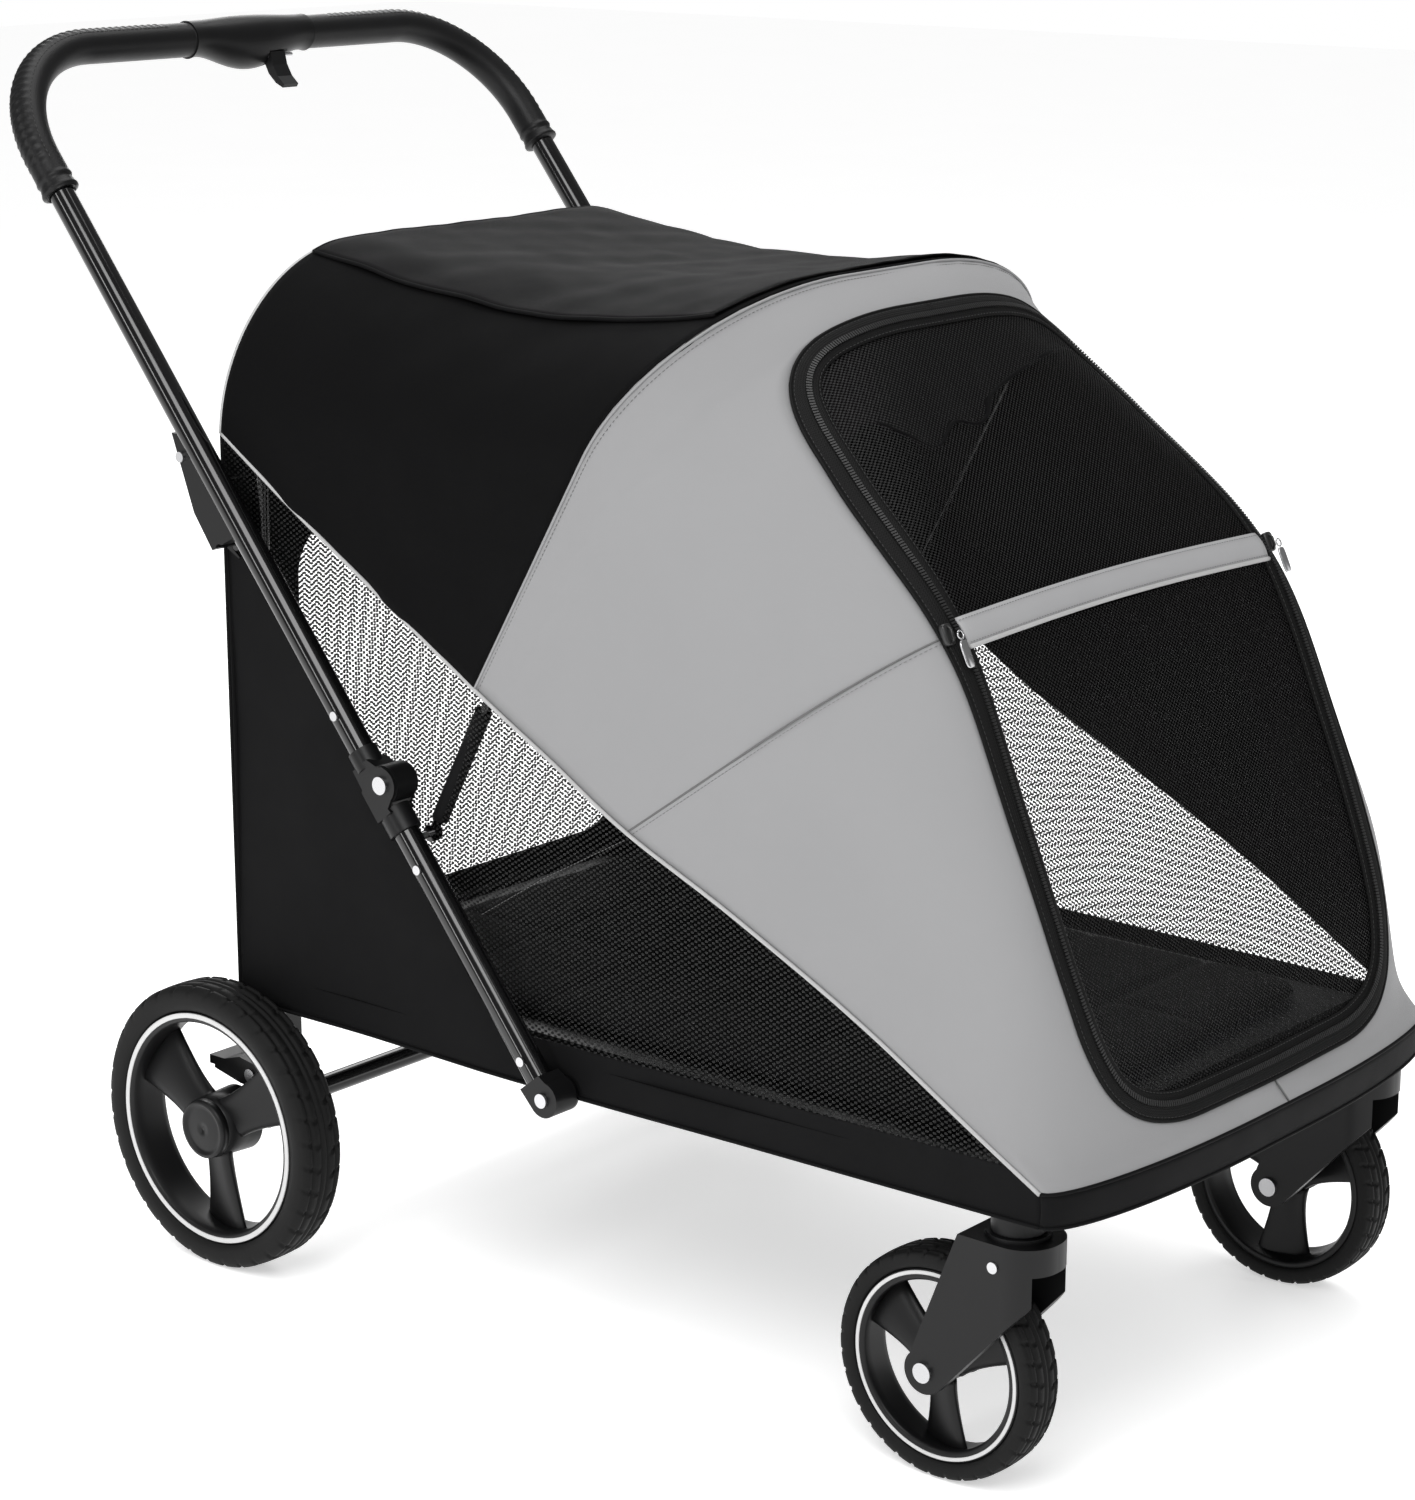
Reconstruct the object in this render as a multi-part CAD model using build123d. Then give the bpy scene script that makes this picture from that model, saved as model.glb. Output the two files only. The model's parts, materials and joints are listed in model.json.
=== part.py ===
from build123d import *
import os
from math import cos, hypot, radians, sin

# Folding pet stroller. Millimetres. X runs across the stroller (the stroller's left is +X),
# the nose points to -Y, Z is up, and the wheels stand on z = 0.
# In comments, "side outline" means a shape in the YZ plane, drawn as (y, z) points.

# --- wheels ---
REAR_WHEEL_R = 127.0
REAR_WHEEL_WIDTH = 45.0
REAR_AXLE_Y = 297.0
REAR_RIM_R = REAR_WHEEL_R - 23.0
FRONT_WHEEL_R = 92.5
FRONT_WHEEL_WIDTH = 37.0
CASTER_Y = -498.5
CASTER_TRAIL = 63.0
FRONT_RIM_R = FRONT_WHEEL_R - 15.5
RIM_WALL = 9.0
SPOKES = 3
REAR_HUB_R = 27.0
FRONT_HUB_R = 20.0

# --- fits ---
RUNNING = 0.05          # radial play of a turning pin or axle
BODY_GAP = 0.5          # gap between pieces that move past each other
CLOTH_GAP = 1.0         # gap between the cloth and the frame inside it

# --- axles and pins ---
REAR_AXLE_R = 6.0
FRONT_AXLE_R = 4.0
STEM_R = 6.0
FOLD_PIN_R = 5.0
LOWER_PIN_R = 4.0
SMALL_SCREW_R = 3.0

# --- base frame ---
RAIL_D = 20.0
RAIL_WALL = 1.5
RAIL_Z = 250.0
RAIL_REAR_Y = 285.0
RAIL_FRONT_Y = -470.0
NOSE_TUBE_Y = -548.0
LEG_THICK = 18.0
LEG_LONG = 30.0
AXLE_TUBE_D = 19.0
BOARD_THICK = 6.0
MAT_THICK = 16.0

# --- cabin ---
CABIN_HALF_W = 286.0
CABIN_NOSE_HALF_W = CABIN_HALF_W - 14.0
CABIN_REAR_Y = 299.0
CABIN_NOSE_Y = -583.0
CABIN_CORNER_Y = -531.0
CABIN_BOTTOM_Z = 232.0
CABIN_TOP_Z = 878.0
ARCH_R = 140.0
CLOTH = 2.5
ROOF_SAG = 12.0
REAR_LEAN = 14.0
BOW_TOP_Y = -176.0
BAND_TOP_Z = 250.0
DOOR_BOTTOM_Z = 280.0
DOOR_HALF_W = CABIN_HALF_W - 59.0
DOOR_TOP_Z = CABIN_TOP_Z - 28.0
DOOR_TOP_HALF_W = CABIN_HALF_W - 96.0
CROSSBAR_Y = -407.0
CROSSBAR_Z = 650.0
CROSSBAR_H = 22.0
STAY_D = 8.0
ZIP_W = 12.0
PIPING = [(299.0, 729.0), (198.0, 661.0), (14.0, 555.0), (-145.0, 464.0), (-352.0, 366.0), (-536.0, 258.0)]
BOW_FOOT = (14.0, 555.0)

# --- places across the stroller, all measured from the cabin's sides ---
RAIL_X = CABIN_HALF_W - 36.0
LEG_X = CABIN_HALF_W - 30.0
FRONT_WHEEL_X = CABIN_HALF_W - 39.0
REAR_WHEEL_X = CABIN_HALF_W + 27.7
MAT_HALF_W = CABIN_HALF_W - 46.0

# --- handle and fold ---
SIDE_TUBE_D = 22.0
SIDE_TUBE_WALL = 1.5
SIDE_TUBE_X = CABIN_HALF_W + SIDE_TUBE_D / 2 + 4.0
LOWER_PIVOT = (-80.6, 236.3)
FOLD_PIVOT = (92.1, 467.0)
FOLD_OFFSET = 14.0      # the fold pin sits this far in front of the tube's centre line
HANDLE_ANGLE = 51.2
HANDLE_BAR_Y = 563.0
HANDLE_BEND_R = 110.0
GRIP_D = 31.0
GRIP_LEG = 145.0        # how far the grips run down the legs from the bar
HUB_HALF_W = 72.0
TRIGGER_X = 23.0
TRIGGER_W = 18.0
CHEEK = 2.6
KNUCKLE_DISC_R = 16.0
KNUCKLE_UP = 38.0
KNUCKLE_DOWN = 40.0
HOOP_D = 14.0
HOOP_X = RAIL_X + RAIL_D / 2 + HOOP_D / 2
HOOP_PIVOT = (285.0, 250.0)
CATCH_Z = 636.0
CATCH_PIN_R = 4.0
BOW_D = 8.0
BOW_X = CABIN_HALF_W - 7.5
LOWER_SCREWS = (-74.0, -252.0)   # screw heads on the lower tube, from the fold pin
BOW_PIVOT_DOWN = 48.0    # from the fold pin down the tube to the bow's pivot

FORWARD = radians(HANDLE_ANGLE)
TUBE_INNER_X = SIDE_TUBE_X - SIDE_TUBE_D / 2
CATCH_LOW_X = CABIN_HALF_W + CLOTH_GAP
CATCH_END_X = TUBE_INNER_X - BODY_GAP
REAR_AXLE_Z = REAR_WHEEL_R
FRONT_AXLE_Z = FRONT_WHEEL_R
FRONT_AXLE_Y = CASTER_Y + CASTER_TRAIL


# --- helpers ---
def rod(start, end, diameter, wall=0.0):
    """A straight round bar, or a tube when a wall is given, between two points."""
    run = Vector(*end) - Vector(*start)
    section = Circle(diameter / 2)
    if wall:
        section -= Circle(diameter / 2 - wall)
    return extrude(Plane(origin=start, z_dir=run) * section, run.length)


def bent_tube(points, bend, diameter, wall):
    """A round tube along filleted points. A wall of 0 gives its full outer shape."""
    path = FilletPolyline(*points, radius=bend)
    section = Circle(diameter / 2)
    if wall:
        section -= Circle(diameter / 2 - wall)
    return sweep(Plane(origin=path @ 0, z_dir=path % 0) * section, path=path)


def side_solid(outline, x_low, x_high):
    """A closed side outline, pulled out across X."""
    face = make_face(Polyline(*outline, close=True))
    return extrude(Plane.YZ.offset(x_low) * face, x_high - x_low)


def block(x_low, x_high, y_low, y_high, z_low, z_high):
    centre = Pos((x_low + x_high) / 2, (y_low + y_high) / 2, (z_low + z_high) / 2)
    return centre * Box(x_high - x_low, y_high - y_low, z_high - z_low)


def cross_pin(x_low, x_high, place, radius):
    """A round pin along X at a (y, z) place."""
    return rod((x_low, place[0], place[1]), (x_high, place[0], place[1]), 2 * radius)


def both_sides(solid):
    return [solid, mirror(solid, about=Plane.YZ)]


def along(s, n):
    """The (y, z) point s up the side tube from the fold pin, n in front of the tube's centre line."""
    y = FOLD_PIVOT[0] + s * cos(FORWARD) - (n - FOLD_OFFSET) * sin(FORWARD)
    z = FOLD_PIVOT[1] + s * sin(FORWARD) + (n - FOLD_OFFSET) * cos(FORWARD)
    return (y, z)


BOW_PIVOT = along(-BOW_PIVOT_DOWN, 4)


def write(name, shape):
    solids = shape if isinstance(shape, list) else [shape]
    pieces = []
    for item in solids:
        pieces.extend(item.solids())
    export_step(pieces[0] if len(pieces) == 1 else Compound(children=pieces), "parts/" + name + ".step")


# --- wheels, about their own centre, axle along X ---
def wheel_ring(outer, inner, width, crown):
    half = width / 2
    right = [(half - 3, inner), (half, inner + 4), (half, outer - crown)]
    edge = Polyline((-half, outer - crown), (-half, inner + 4), (3 - half, inner), *right)
    tread = ThreePointArc((half, outer - crown), (0, outer), (-half, outer - crown))
    return revolve(make_face(edge + tread), axis=Axis.X)


def rim(rim_r, hub_r, hub_len, width, bore, blade_root, blade_tip, blade_thick):
    """Barrel, three broad blades and a hub, moulded in one."""
    along_x = Rot(0, 90, 0)
    barrel = along_x * (Cylinder(rim_r, width) - Cylinder(rim_r - RIM_WALL, width))
    blade_end = ((rim_r - RIM_WALL / 2) ** 2 - blade_tip**2) ** 0.5
    corners = [(-blade_root, 0), (-blade_tip, blade_end), (blade_tip, blade_end), (blade_root, 0)]
    blade = Polyline(*corners, close=True)
    one = extrude(Plane.YZ * make_face(blade), blade_thick / 2, both=True)
    body = barrel + along_x * Cylinder(hub_r, hub_len)
    for turn in range(SPOKES):
        body += Rot(60 + turn * 360 / SPOKES, 0, 0) * one
    return body - along_x * Cylinder(bore, hub_len + 2)


def rear_wheel(side):
    place = Pos(side * REAR_WHEEL_X, REAR_AXLE_Y, REAR_AXLE_Z)
    hub_len = REAR_WHEEL_WIDTH
    body = rim(REAR_RIM_R, REAR_HUB_R, hub_len, REAR_WHEEL_WIDTH - 8, REAR_AXLE_R + RUNNING, 15, 34, 14)
    nut_room = rod((hub_len / 2 - 12, 0, 0), (hub_len / 2 + 1, 0, 0), 32)
    tyre = wheel_ring(REAR_WHEEL_R, REAR_RIM_R, REAR_WHEEL_WIDTH, 10)
    cap = rod((hub_len / 2, 0, 0), (hub_len / 2 + 3, 0, 0), 2 * REAR_HUB_R - 2)
    name = "left" if side > 0 else "right"
    turn = place if side > 0 else place * Rot(0, 0, 180)
    write("rear_rim_" + name, turn * (body - nut_room))
    write("rear_tyre_" + name, turn * tyre)
    write("rear_hub_cap_" + name, turn * cap)


def front_wheel(side):
    name = "left" if side > 0 else "right"
    place = Pos(side * FRONT_WHEEL_X, FRONT_AXLE_Y, FRONT_AXLE_Z)
    width = FRONT_WHEEL_WIDTH
    body = rim(FRONT_RIM_R, FRONT_HUB_R, width + 3, width - 8, FRONT_AXLE_R + RUNNING, 11, 26, 12)
    write("front_rim_" + name, place * body)
    write("front_tyre_" + name, place * wheel_ring(FRONT_WHEEL_R, FRONT_RIM_R, width, 9))


# --- casters ---
FORK_INNER = FRONT_WHEEL_WIDTH / 2 + 3.5
FORK_OUTER = FORK_INNER + 9
CROWN_LOW = 2 * FRONT_WHEEL_R + 5
CROWN_TOP = CROWN_LOW + 22
COLLAR_TOP = CROWN_TOP + 3.5
SOCKET_LOW = COLLAR_TOP + BODY_GAP
CROWN_FRONT = 36.0       # the crown's reach in front of the stem
CROWN_REAR = 34.0
SOCKET_R = 21.0
FORK_BOSS_R = 18.0


def caster(side):
    name = "left" if side > 0 else "right"
    front = CASTER_Y - CROWN_FRONT
    rear = CASTER_Y + CROWN_REAR
    boss = cross_pin(-FORK_OUTER, FORK_OUTER, (FRONT_AXLE_Y, FRONT_AXLE_Z), FORK_BOSS_R)
    reach = FORK_BOSS_R * 0.72
    outline = [
        (front, CROWN_TOP),
        (front, CROWN_LOW - 10),
        (front + 8, CROWN_LOW - 24),
        (FRONT_AXLE_Y - reach, FRONT_AXLE_Z - reach),
        (FRONT_AXLE_Y + reach, FRONT_AXLE_Z + reach),
        (rear, CROWN_TOP),
    ]
    sides = side_solid(outline, -FORK_OUTER, FORK_OUTER) + boss
    wheel_room = cross_pin(-FORK_INNER, FORK_INNER, (FRONT_AXLE_Y, FRONT_AXLE_Z), FRONT_WHEEL_R + 5)
    axle_hole = cross_pin(-FORK_OUTER - 1, FORK_OUTER + 1, (FRONT_AXLE_Y, FRONT_AXLE_Z), FRONT_AXLE_R)
    under = block(-FORK_INNER, FORK_INNER, front - 1, FRONT_AXLE_Y + 40, 0, CROWN_LOW)
    collar = Pos(0, CASTER_Y, (CROWN_TOP + COLLAR_TOP) / 2) * Cylinder(25, COLLAR_TOP - CROWN_TOP)
    stem_hole = Pos(0, CASTER_Y, CROWN_TOP) * Cylinder(STEM_R, 60)
    column_rear = rear + 60
    plan = fillet(Rectangle(2 * FORK_OUTER, column_rear - front).vertices().group_by(Axis.Y)[0], FORK_OUTER - 2)
    column = Pos(0, (front + column_rear) / 2, 0) * extrude(plan, CROWN_TOP)
    fork = (sides & column) + collar - wheel_room - under - axle_hole - stem_hole
    place = Pos(side * FRONT_WHEEL_X, 0, 0)
    write("caster_fork_" + name, place * fork)
    stem = rod((0, CASTER_Y, CROWN_LOW), (0, CASTER_Y, RAIL_Z - RAIL_D / 2 - 3), 2 * STEM_R)
    write("caster_stem_" + name, place * stem)
    bolt = cross_pin(-FORK_OUTER, FORK_OUTER, (FRONT_AXLE_Y, FRONT_AXLE_Z), FRONT_AXLE_R)
    head = cross_pin(FORK_OUTER, FORK_OUTER + 3, (FRONT_AXLE_Y, FRONT_AXLE_Z), 8)
    screw = cross_pin(FORK_OUTER, FORK_OUTER + 1.5, (CASTER_Y + 1, CROWN_TOP - 18), 4.5)
    bolts = [place * (bolt + head + mirror(head, about=Plane.YZ))]
    for one in both_sides(screw):
        bolts.append(place * one)
    write("caster_bolts_" + name, bolts)


# --- base frame ---
def base_frame():
    sockets = []
    for side, name in ((1, "left"), (-1, "right")):
        x = side * RAIL_X
        rail_body = rod((x, RAIL_REAR_Y + 8, RAIL_Z), (x, RAIL_FRONT_Y, RAIL_Z), RAIL_D, RAIL_WALL)
        hoop_pin = cross_pin(min(x, side * SIDE_TUBE_X), max(x, side * SIDE_TUBE_X), HOOP_PIVOT, LOWER_PIN_R)
        bracket_bolt = cross_pin(min(x, side * SIDE_TUBE_X), max(x, side * SIDE_TUBE_X), along_bracket(), SMALL_SCREW_R)
        write("base_rail_" + name, rail_body - hoop_pin - bracket_bolt)
        leg = block(-LEG_THICK / 2, LEG_THICK / 2, -LEG_LONG / 2, LEG_LONG / 2, REAR_AXLE_Z, RAIL_Z)
        leg = Pos(side * LEG_X, CABIN_REAR_Y - CLOTH - CLOTH_GAP - LEG_LONG / 2, 0) * leg
        x_leg = side * LEG_X
        boss = cross_pin(x_leg - LEG_THICK / 2, x_leg + LEG_THICK / 2, (REAR_AXLE_Y, REAR_AXLE_Z), 19)
        axle_hole = cross_pin(x_leg - LEG_THICK, x_leg + LEG_THICK, (REAR_AXLE_Y, REAR_AXLE_Z), REAR_AXLE_R)
        rail_room = rod((x, CABIN_REAR_Y + 30, RAIL_Z), (x, 0, RAIL_Z), RAIL_D)
        hoop_room = block(HOOP_X - HOOP_D, CABIN_HALF_W, 200, CABIN_REAR_Y, RAIL_Z - 16, RAIL_Z + 20)
        hoop_room = hoop_room if side > 0 else mirror(hoop_room, about=Plane.YZ)
        write("rear_leg_" + name, leg + boss - axle_hole - rail_room - hoop_room)
        socket = Pos(side * FRONT_WHEEL_X, CASTER_Y, 0) * (
            Pos(0, 0, (SOCKET_LOW + RAIL_Z) / 2) * Cylinder(SOCKET_R, RAIL_Z - SOCKET_LOW)
        )
        stem_room = Pos(side * FRONT_WHEEL_X, CASTER_Y, RAIL_Z - RAIL_D / 2 - 30) * Cylinder(STEM_R + RUNNING, 58)
        sockets.append(socket - stem_room - nose_tube(0.0))
    write("nose_tube", nose_tube(RAIL_WALL))
    write("caster_sockets", sockets)
    cross_half = RAIL_X - RAIL_D / 2
    cross = rod((-cross_half, 230, RAIL_Z), (cross_half, 230, RAIL_Z), RAIL_D - 2, RAIL_WALL)
    write("rear_cross_tube", cross)
    axle_half = LEG_X - LEG_THICK / 2
    end_half = REAR_WHEEL_X + REAR_WHEEL_WIDTH / 2 - 4
    place = (REAR_AXLE_Y, REAR_AXLE_Z)
    tube = cross_pin(-axle_half, axle_half, place, AXLE_TUBE_D / 2)
    tube -= cross_pin(-axle_half, axle_half, place, REAR_AXLE_R)
    write("rear_axle_tube", tube)
    axle = cross_pin(-end_half, end_half, place, REAR_AXLE_R)
    nut = cross_pin(end_half - 7, end_half, place, 10) - cross_pin(end_half - 9, end_half + 1, place, REAR_AXLE_R)
    spacer_low = LEG_X + LEG_THICK / 2
    spacer_high = REAR_WHEEL_X - REAR_WHEEL_WIDTH / 2 - BODY_GAP
    spacer = cross_pin(spacer_low, spacer_high, place, 12.5)
    spacer -= cross_pin(spacer_low - 1, spacer_high + 1, place, REAR_AXLE_R)
    write("rear_axle_rod", axle)
    write("rear_axle_spacers", both_sides(spacer) + both_sides(nut))
    inner = CABIN_HALF_W - CLOTH - CLOTH_GAP - 14
    board_low = RAIL_Z + RAIL_D / 2
    board = block(-inner + 12, inner - 12, RAIL_FRONT_Y - 20, RAIL_REAR_Y - 12, board_low, board_low + BOARD_THICK)
    write("floor_board", board)
    mat_top = board_low + BOARD_THICK + MAT_THICK
    mat = block(-MAT_HALF_W, MAT_HALF_W, RAIL_FRONT_Y + 5, RAIL_REAR_Y - 35, board_low + BOARD_THICK, mat_top)
    write("floor_mat", fillet(mat.edges().filter_by(Axis.Z), 30))


def nose_tube(wall):
    """The bowed tube that joins the rails at the nose. A wall of 0 gives its full outer shape."""
    side = RAIL_X
    points = [
        (-side, RAIL_FRONT_Y, RAIL_Z),
        (-side, CASTER_Y - 25, RAIL_Z),
        (-120, NOSE_TUBE_Y, RAIL_Z),
        (120, NOSE_TUBE_Y, RAIL_Z),
        (side, CASTER_Y - 25, RAIL_Z),
        (side, RAIL_FRONT_Y, RAIL_Z),
    ]
    return bent_tube(points, 30, RAIL_D, wall)


# --- lower pivot ---
BRACKET_LOW_X = CABIN_HALF_W + 0.6
BRACKET_THICK = 2.4
CAP_LOW_X = BRACKET_LOW_X + BRACKET_THICK + 0.4
CAP_HIGH_X = SIDE_TUBE_X + SIDE_TUBE_D / 2 + 1.5
CAP_R = SIDE_TUBE_D / 2 + 4.0


def along_bracket():
    """The fixing bolt of the lower bracket, behind and above the lower pivot."""
    return (LOWER_PIVOT[0] + 32, LOWER_PIVOT[1] + 5)


def lower_pivots(brake_pins):
    bolt_at = along_bracket()
    plate = cross_pin(BRACKET_LOW_X, BRACKET_LOW_X + BRACKET_THICK, LOWER_PIVOT, 15)
    plate += cross_pin(BRACKET_LOW_X, BRACKET_LOW_X + BRACKET_THICK, bolt_at, 11)
    run = (bolt_at[0] - LOWER_PIVOT[0], bolt_at[1] - LOWER_PIVOT[1])
    length = hypot(*run)
    across = (-run[1] / length, run[0] / length)
    web = [
        (LOWER_PIVOT[0] + 15 * across[0], LOWER_PIVOT[1] + 15 * across[1]),
        (bolt_at[0] + 11 * across[0], bolt_at[1] + 11 * across[1]),
        (bolt_at[0] - 11 * across[0], bolt_at[1] - 11 * across[1]),
        (LOWER_PIVOT[0] - 15 * across[0], LOWER_PIVOT[1] - 15 * across[1]),
    ]
    plate += side_solid(web, BRACKET_LOW_X, BRACKET_LOW_X + BRACKET_THICK)
    plate -= cross_pin(BRACKET_LOW_X - 1, CAP_LOW_X, LOWER_PIVOT, LOWER_PIN_R)
    plate -= cross_pin(BRACKET_LOW_X - 1, CAP_LOW_X, bolt_at, SMALL_SCREW_R)
    write("lower_pivot_brackets", both_sides(plate))
    pin = cross_pin(BRACKET_LOW_X, CAP_HIGH_X + 0.4, LOWER_PIVOT, LOWER_PIN_R)
    pin += cross_pin(CAP_HIGH_X + 0.4, CAP_HIGH_X + 3, LOWER_PIVOT, 6)
    bolt = cross_pin(RAIL_X, BRACKET_LOW_X + BRACKET_THICK, bolt_at, SMALL_SCREW_R)
    head_low = BRACKET_LOW_X + BRACKET_THICK
    bolt += cross_pin(head_low, TUBE_INNER_X - BODY_GAP / 2, bolt_at, 6)
    hoop_pin = cross_pin(RAIL_X + RAIL_D / 2 - RAIL_WALL, HOOP_X + HOOP_D / 2, HOOP_PIVOT, LOWER_PIN_R)
    write("pivot_pins", both_sides(pin) + both_sides(bolt) + both_sides(hoop_pin) + brake_pins)


# --- lower frame ---
def lower_frame():
    end = along(-KNUCKLE_DOWN / 2 + 2, 0)
    foot = LOWER_PIVOT
    low_tube = (foot[0] + 10 * cos(FORWARD), foot[1] + 10 * sin(FORWARD))
    shift = foot_offset()
    low_tube = (low_tube[0] + shift[0], low_tube[1] + shift[1])
    tube = rod((SIDE_TUBE_X, *low_tube), (SIDE_TUBE_X, *end), SIDE_TUBE_D, SIDE_TUBE_WALL)
    full = rod((SIDE_TUBE_X, *low_tube), (SIDE_TUBE_X, *end), SIDE_TUBE_D)
    pin_room = cross_pin(CAP_LOW_X - 1, CAP_HIGH_X + 1, LOWER_PIVOT, LOWER_PIN_R + RUNNING)
    bow_pin = cross_pin(BOW_X - BOW_D / 2, SIDE_TUBE_X, BOW_PIVOT, SMALL_SCREW_R)
    cap = cross_pin(CAP_LOW_X, CAP_HIGH_X, LOWER_PIVOT, CAP_R)
    top = (low_tube[0] + 8 * cos(FORWARD), low_tube[1] + 8 * sin(FORWARD))
    across = (-sin(FORWARD), cos(FORWARD))
    sleeve = [
        (foot[0] - CAP_R * across[0], foot[1] - CAP_R * across[1]),
        (top[0] - 12.5 * across[0], top[1] - 12.5 * across[1]),
        (top[0] + 12.5 * across[0], top[1] + 12.5 * across[1]),
        (foot[0] + CAP_R * across[0], foot[1] + CAP_R * across[1]),
    ]
    cap += side_solid(sleeve, CAP_LOW_X, CAP_HIGH_X)
    cap = cap - full - pin_room
    write("lower_tube_left", tube - pin_room - bow_pin)
    write("lower_tube_right", mirror(tube - pin_room - bow_pin, about=Plane.YZ))
    write("lower_end_caps", both_sides(cap))
    write("lower_knuckles", both_sides(lower_knuckle(full)))
    bow_stub = cross_pin(BOW_X - BOW_D / 2, SIDE_TUBE_X - SIDE_TUBE_D / 2 + SIDE_TUBE_WALL, BOW_PIVOT, SMALL_SCREW_R)
    outer = SIDE_TUBE_X + SIDE_TUBE_D / 2 + CHEEK + 0.4
    fold_pin = cross_pin(2 * SIDE_TUBE_X - outer, outer, FOLD_PIVOT, FOLD_PIN_R)
    fold_pin += cross_pin(outer, outer + 2.5, FOLD_PIVOT, 7.5)
    face = SIDE_TUBE_X + SIDE_TUBE_D / 2
    screws = []
    for s in LOWER_SCREWS:
        screws += both_sides(cross_pin(face, face + 2, along(s, 2), 4))
    write("fold_pins", both_sides(fold_pin) + both_sides(bow_stub) + screws)


def foot_offset():
    """From the lower pivot to the side tube's centre line, square to the tube."""
    tube_point = along(0, 0)
    gap_y = tube_point[0] - LOWER_PIVOT[0]
    gap_z = tube_point[1] - LOWER_PIVOT[1]
    square = -gap_y * sin(FORWARD) + gap_z * cos(FORWARD)
    return (-square * sin(FORWARD), square * cos(FORWARD))


def lower_knuckle(tube):
    """A round collar on the lower tube that opens into two cheeks round the fold pin."""
    radius = SIDE_TUBE_D / 2
    inner = radius + 0.4
    outer = inner + CHEEK
    split = 2 - KNUCKLE_DOWN / 2
    low_x, high_x = SIDE_TUBE_X - outer, SIDE_TUBE_X + outer
    collar = rod((SIDE_TUBE_X, *along(-KNUCKLE_DOWN, 0)), (SIDE_TUBE_X, *along(split, 0)), SIDE_TUBE_D + 6)
    web = [
        along(split - 5, 1 - radius),
        along(split - 5, radius - 2),
        along(split - 1, radius - 3),
        along(4 - FOLD_OFFSET - 4, FOLD_OFFSET + 4),
        along(13, FOLD_OFFSET + 4),
        along(16, 6),
        along(6, 1 - radius),
    ]
    cheeks = side_solid(web, low_x, high_x) + cross_pin(low_x, high_x, FOLD_PIVOT, KNUCKLE_DISC_R - 1)
    tongue_room = side_solid(
        [along(split, -40), along(split, 60), along(60, 60), along(60, -40)],
        SIDE_TUBE_X - inner,
        SIDE_TUBE_X + inner,
    )
    pin = cross_pin(low_x - 1, high_x + 1, FOLD_PIVOT, FOLD_PIN_R)
    return collar + cheeks - tongue_room - tube - pin


# --- handle ---
def handle_path(leg_start):
    """From the left leg, over the bar, to the right leg; leg_start is measured from the fold pin."""
    low = along(leg_start, 0)
    reach = (HANDLE_BAR_Y - low[0]) / cos(FORWARD)
    top = (HANDLE_BAR_Y, low[1] + reach * sin(FORWARD))
    x = SIDE_TUBE_X
    return [(x, *low), (x, *top), (-x, *top), (-x, *low)]


def handle():
    points = handle_path(KNUCKLE_UP)
    bar = points[1]
    tube = bent_tube(points, HANDLE_BEND_R, SIDE_TUBE_D, SIDE_TUBE_WALL)
    write("handle_tube", tube)
    reach = hypot(bar[1] - points[0][1], bar[2] - points[0][2])
    grip_path = handle_path(KNUCKLE_UP + reach - GRIP_LEG)
    sleeve = bent_tube(grip_path, HANDLE_BEND_R, GRIP_D, (GRIP_D - SIDE_TUBE_D) / 2)
    hub_room = block(-HUB_HALF_W, HUB_HALF_W, bar[1] - 60, bar[1] + 60, bar[2] - 60, bar[2] + 60)
    grips = (sleeve - hub_room).solids()
    write("grips", list(grips))
    hub = hub_body(bar)
    top_half = block(-100, 100, bar[1] - 80, bar[1] + 80, bar[2] - 4, bar[2] + 80)
    bar_room = rod((-100, bar[1], bar[2]), (100, bar[1], bar[2]), SIDE_TUBE_D)
    trigger_room = block(TRIGGER_X - TRIGGER_W / 2 - 1, TRIGGER_X + TRIGGER_W / 2 + 1, bar[1] - 60, bar[1] - 4, bar[2] - 80, bar[2] - 13)
    trigger_at = (bar[1] - 14, bar[2] - 18)
    pin = cross_pin(2, 44, trigger_at, 2)
    write("hub_shell_top", (hub & top_half) - bar_room)
    write("hub_shell_bottom", hub - top_half - bar_room - trigger_room - pin)
    lever = side_solid(
        [
            (bar[1] - 10, bar[2] - 14),
            (bar[1] - 18, bar[2] - 14),
            (bar[1] - 21, bar[2] - 26),
            (bar[1] - 27, bar[2] - 36),
            (bar[1] - 35, bar[2] - 43),
            (bar[1] - 33, bar[2] - 46),
            (bar[1] - 24, bar[2] - 42),
            (bar[1] - 15, bar[2] - 34),
            (bar[1] - 9, bar[2] - 23),
        ],
        TRIGGER_X - TRIGGER_W / 2,
        TRIGGER_X + TRIGGER_W / 2,
    )
    write("fold_trigger", lever - cross_pin(0, 50, trigger_at, 2 + RUNNING))
    knuckles()
    leg = rod((SIDE_TUBE_X, *along(KNUCKLE_UP, 0)), (SIDE_TUBE_X, *along(500, 0)), SIDE_TUBE_D)
    catch_plates(pin, leg)


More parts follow.
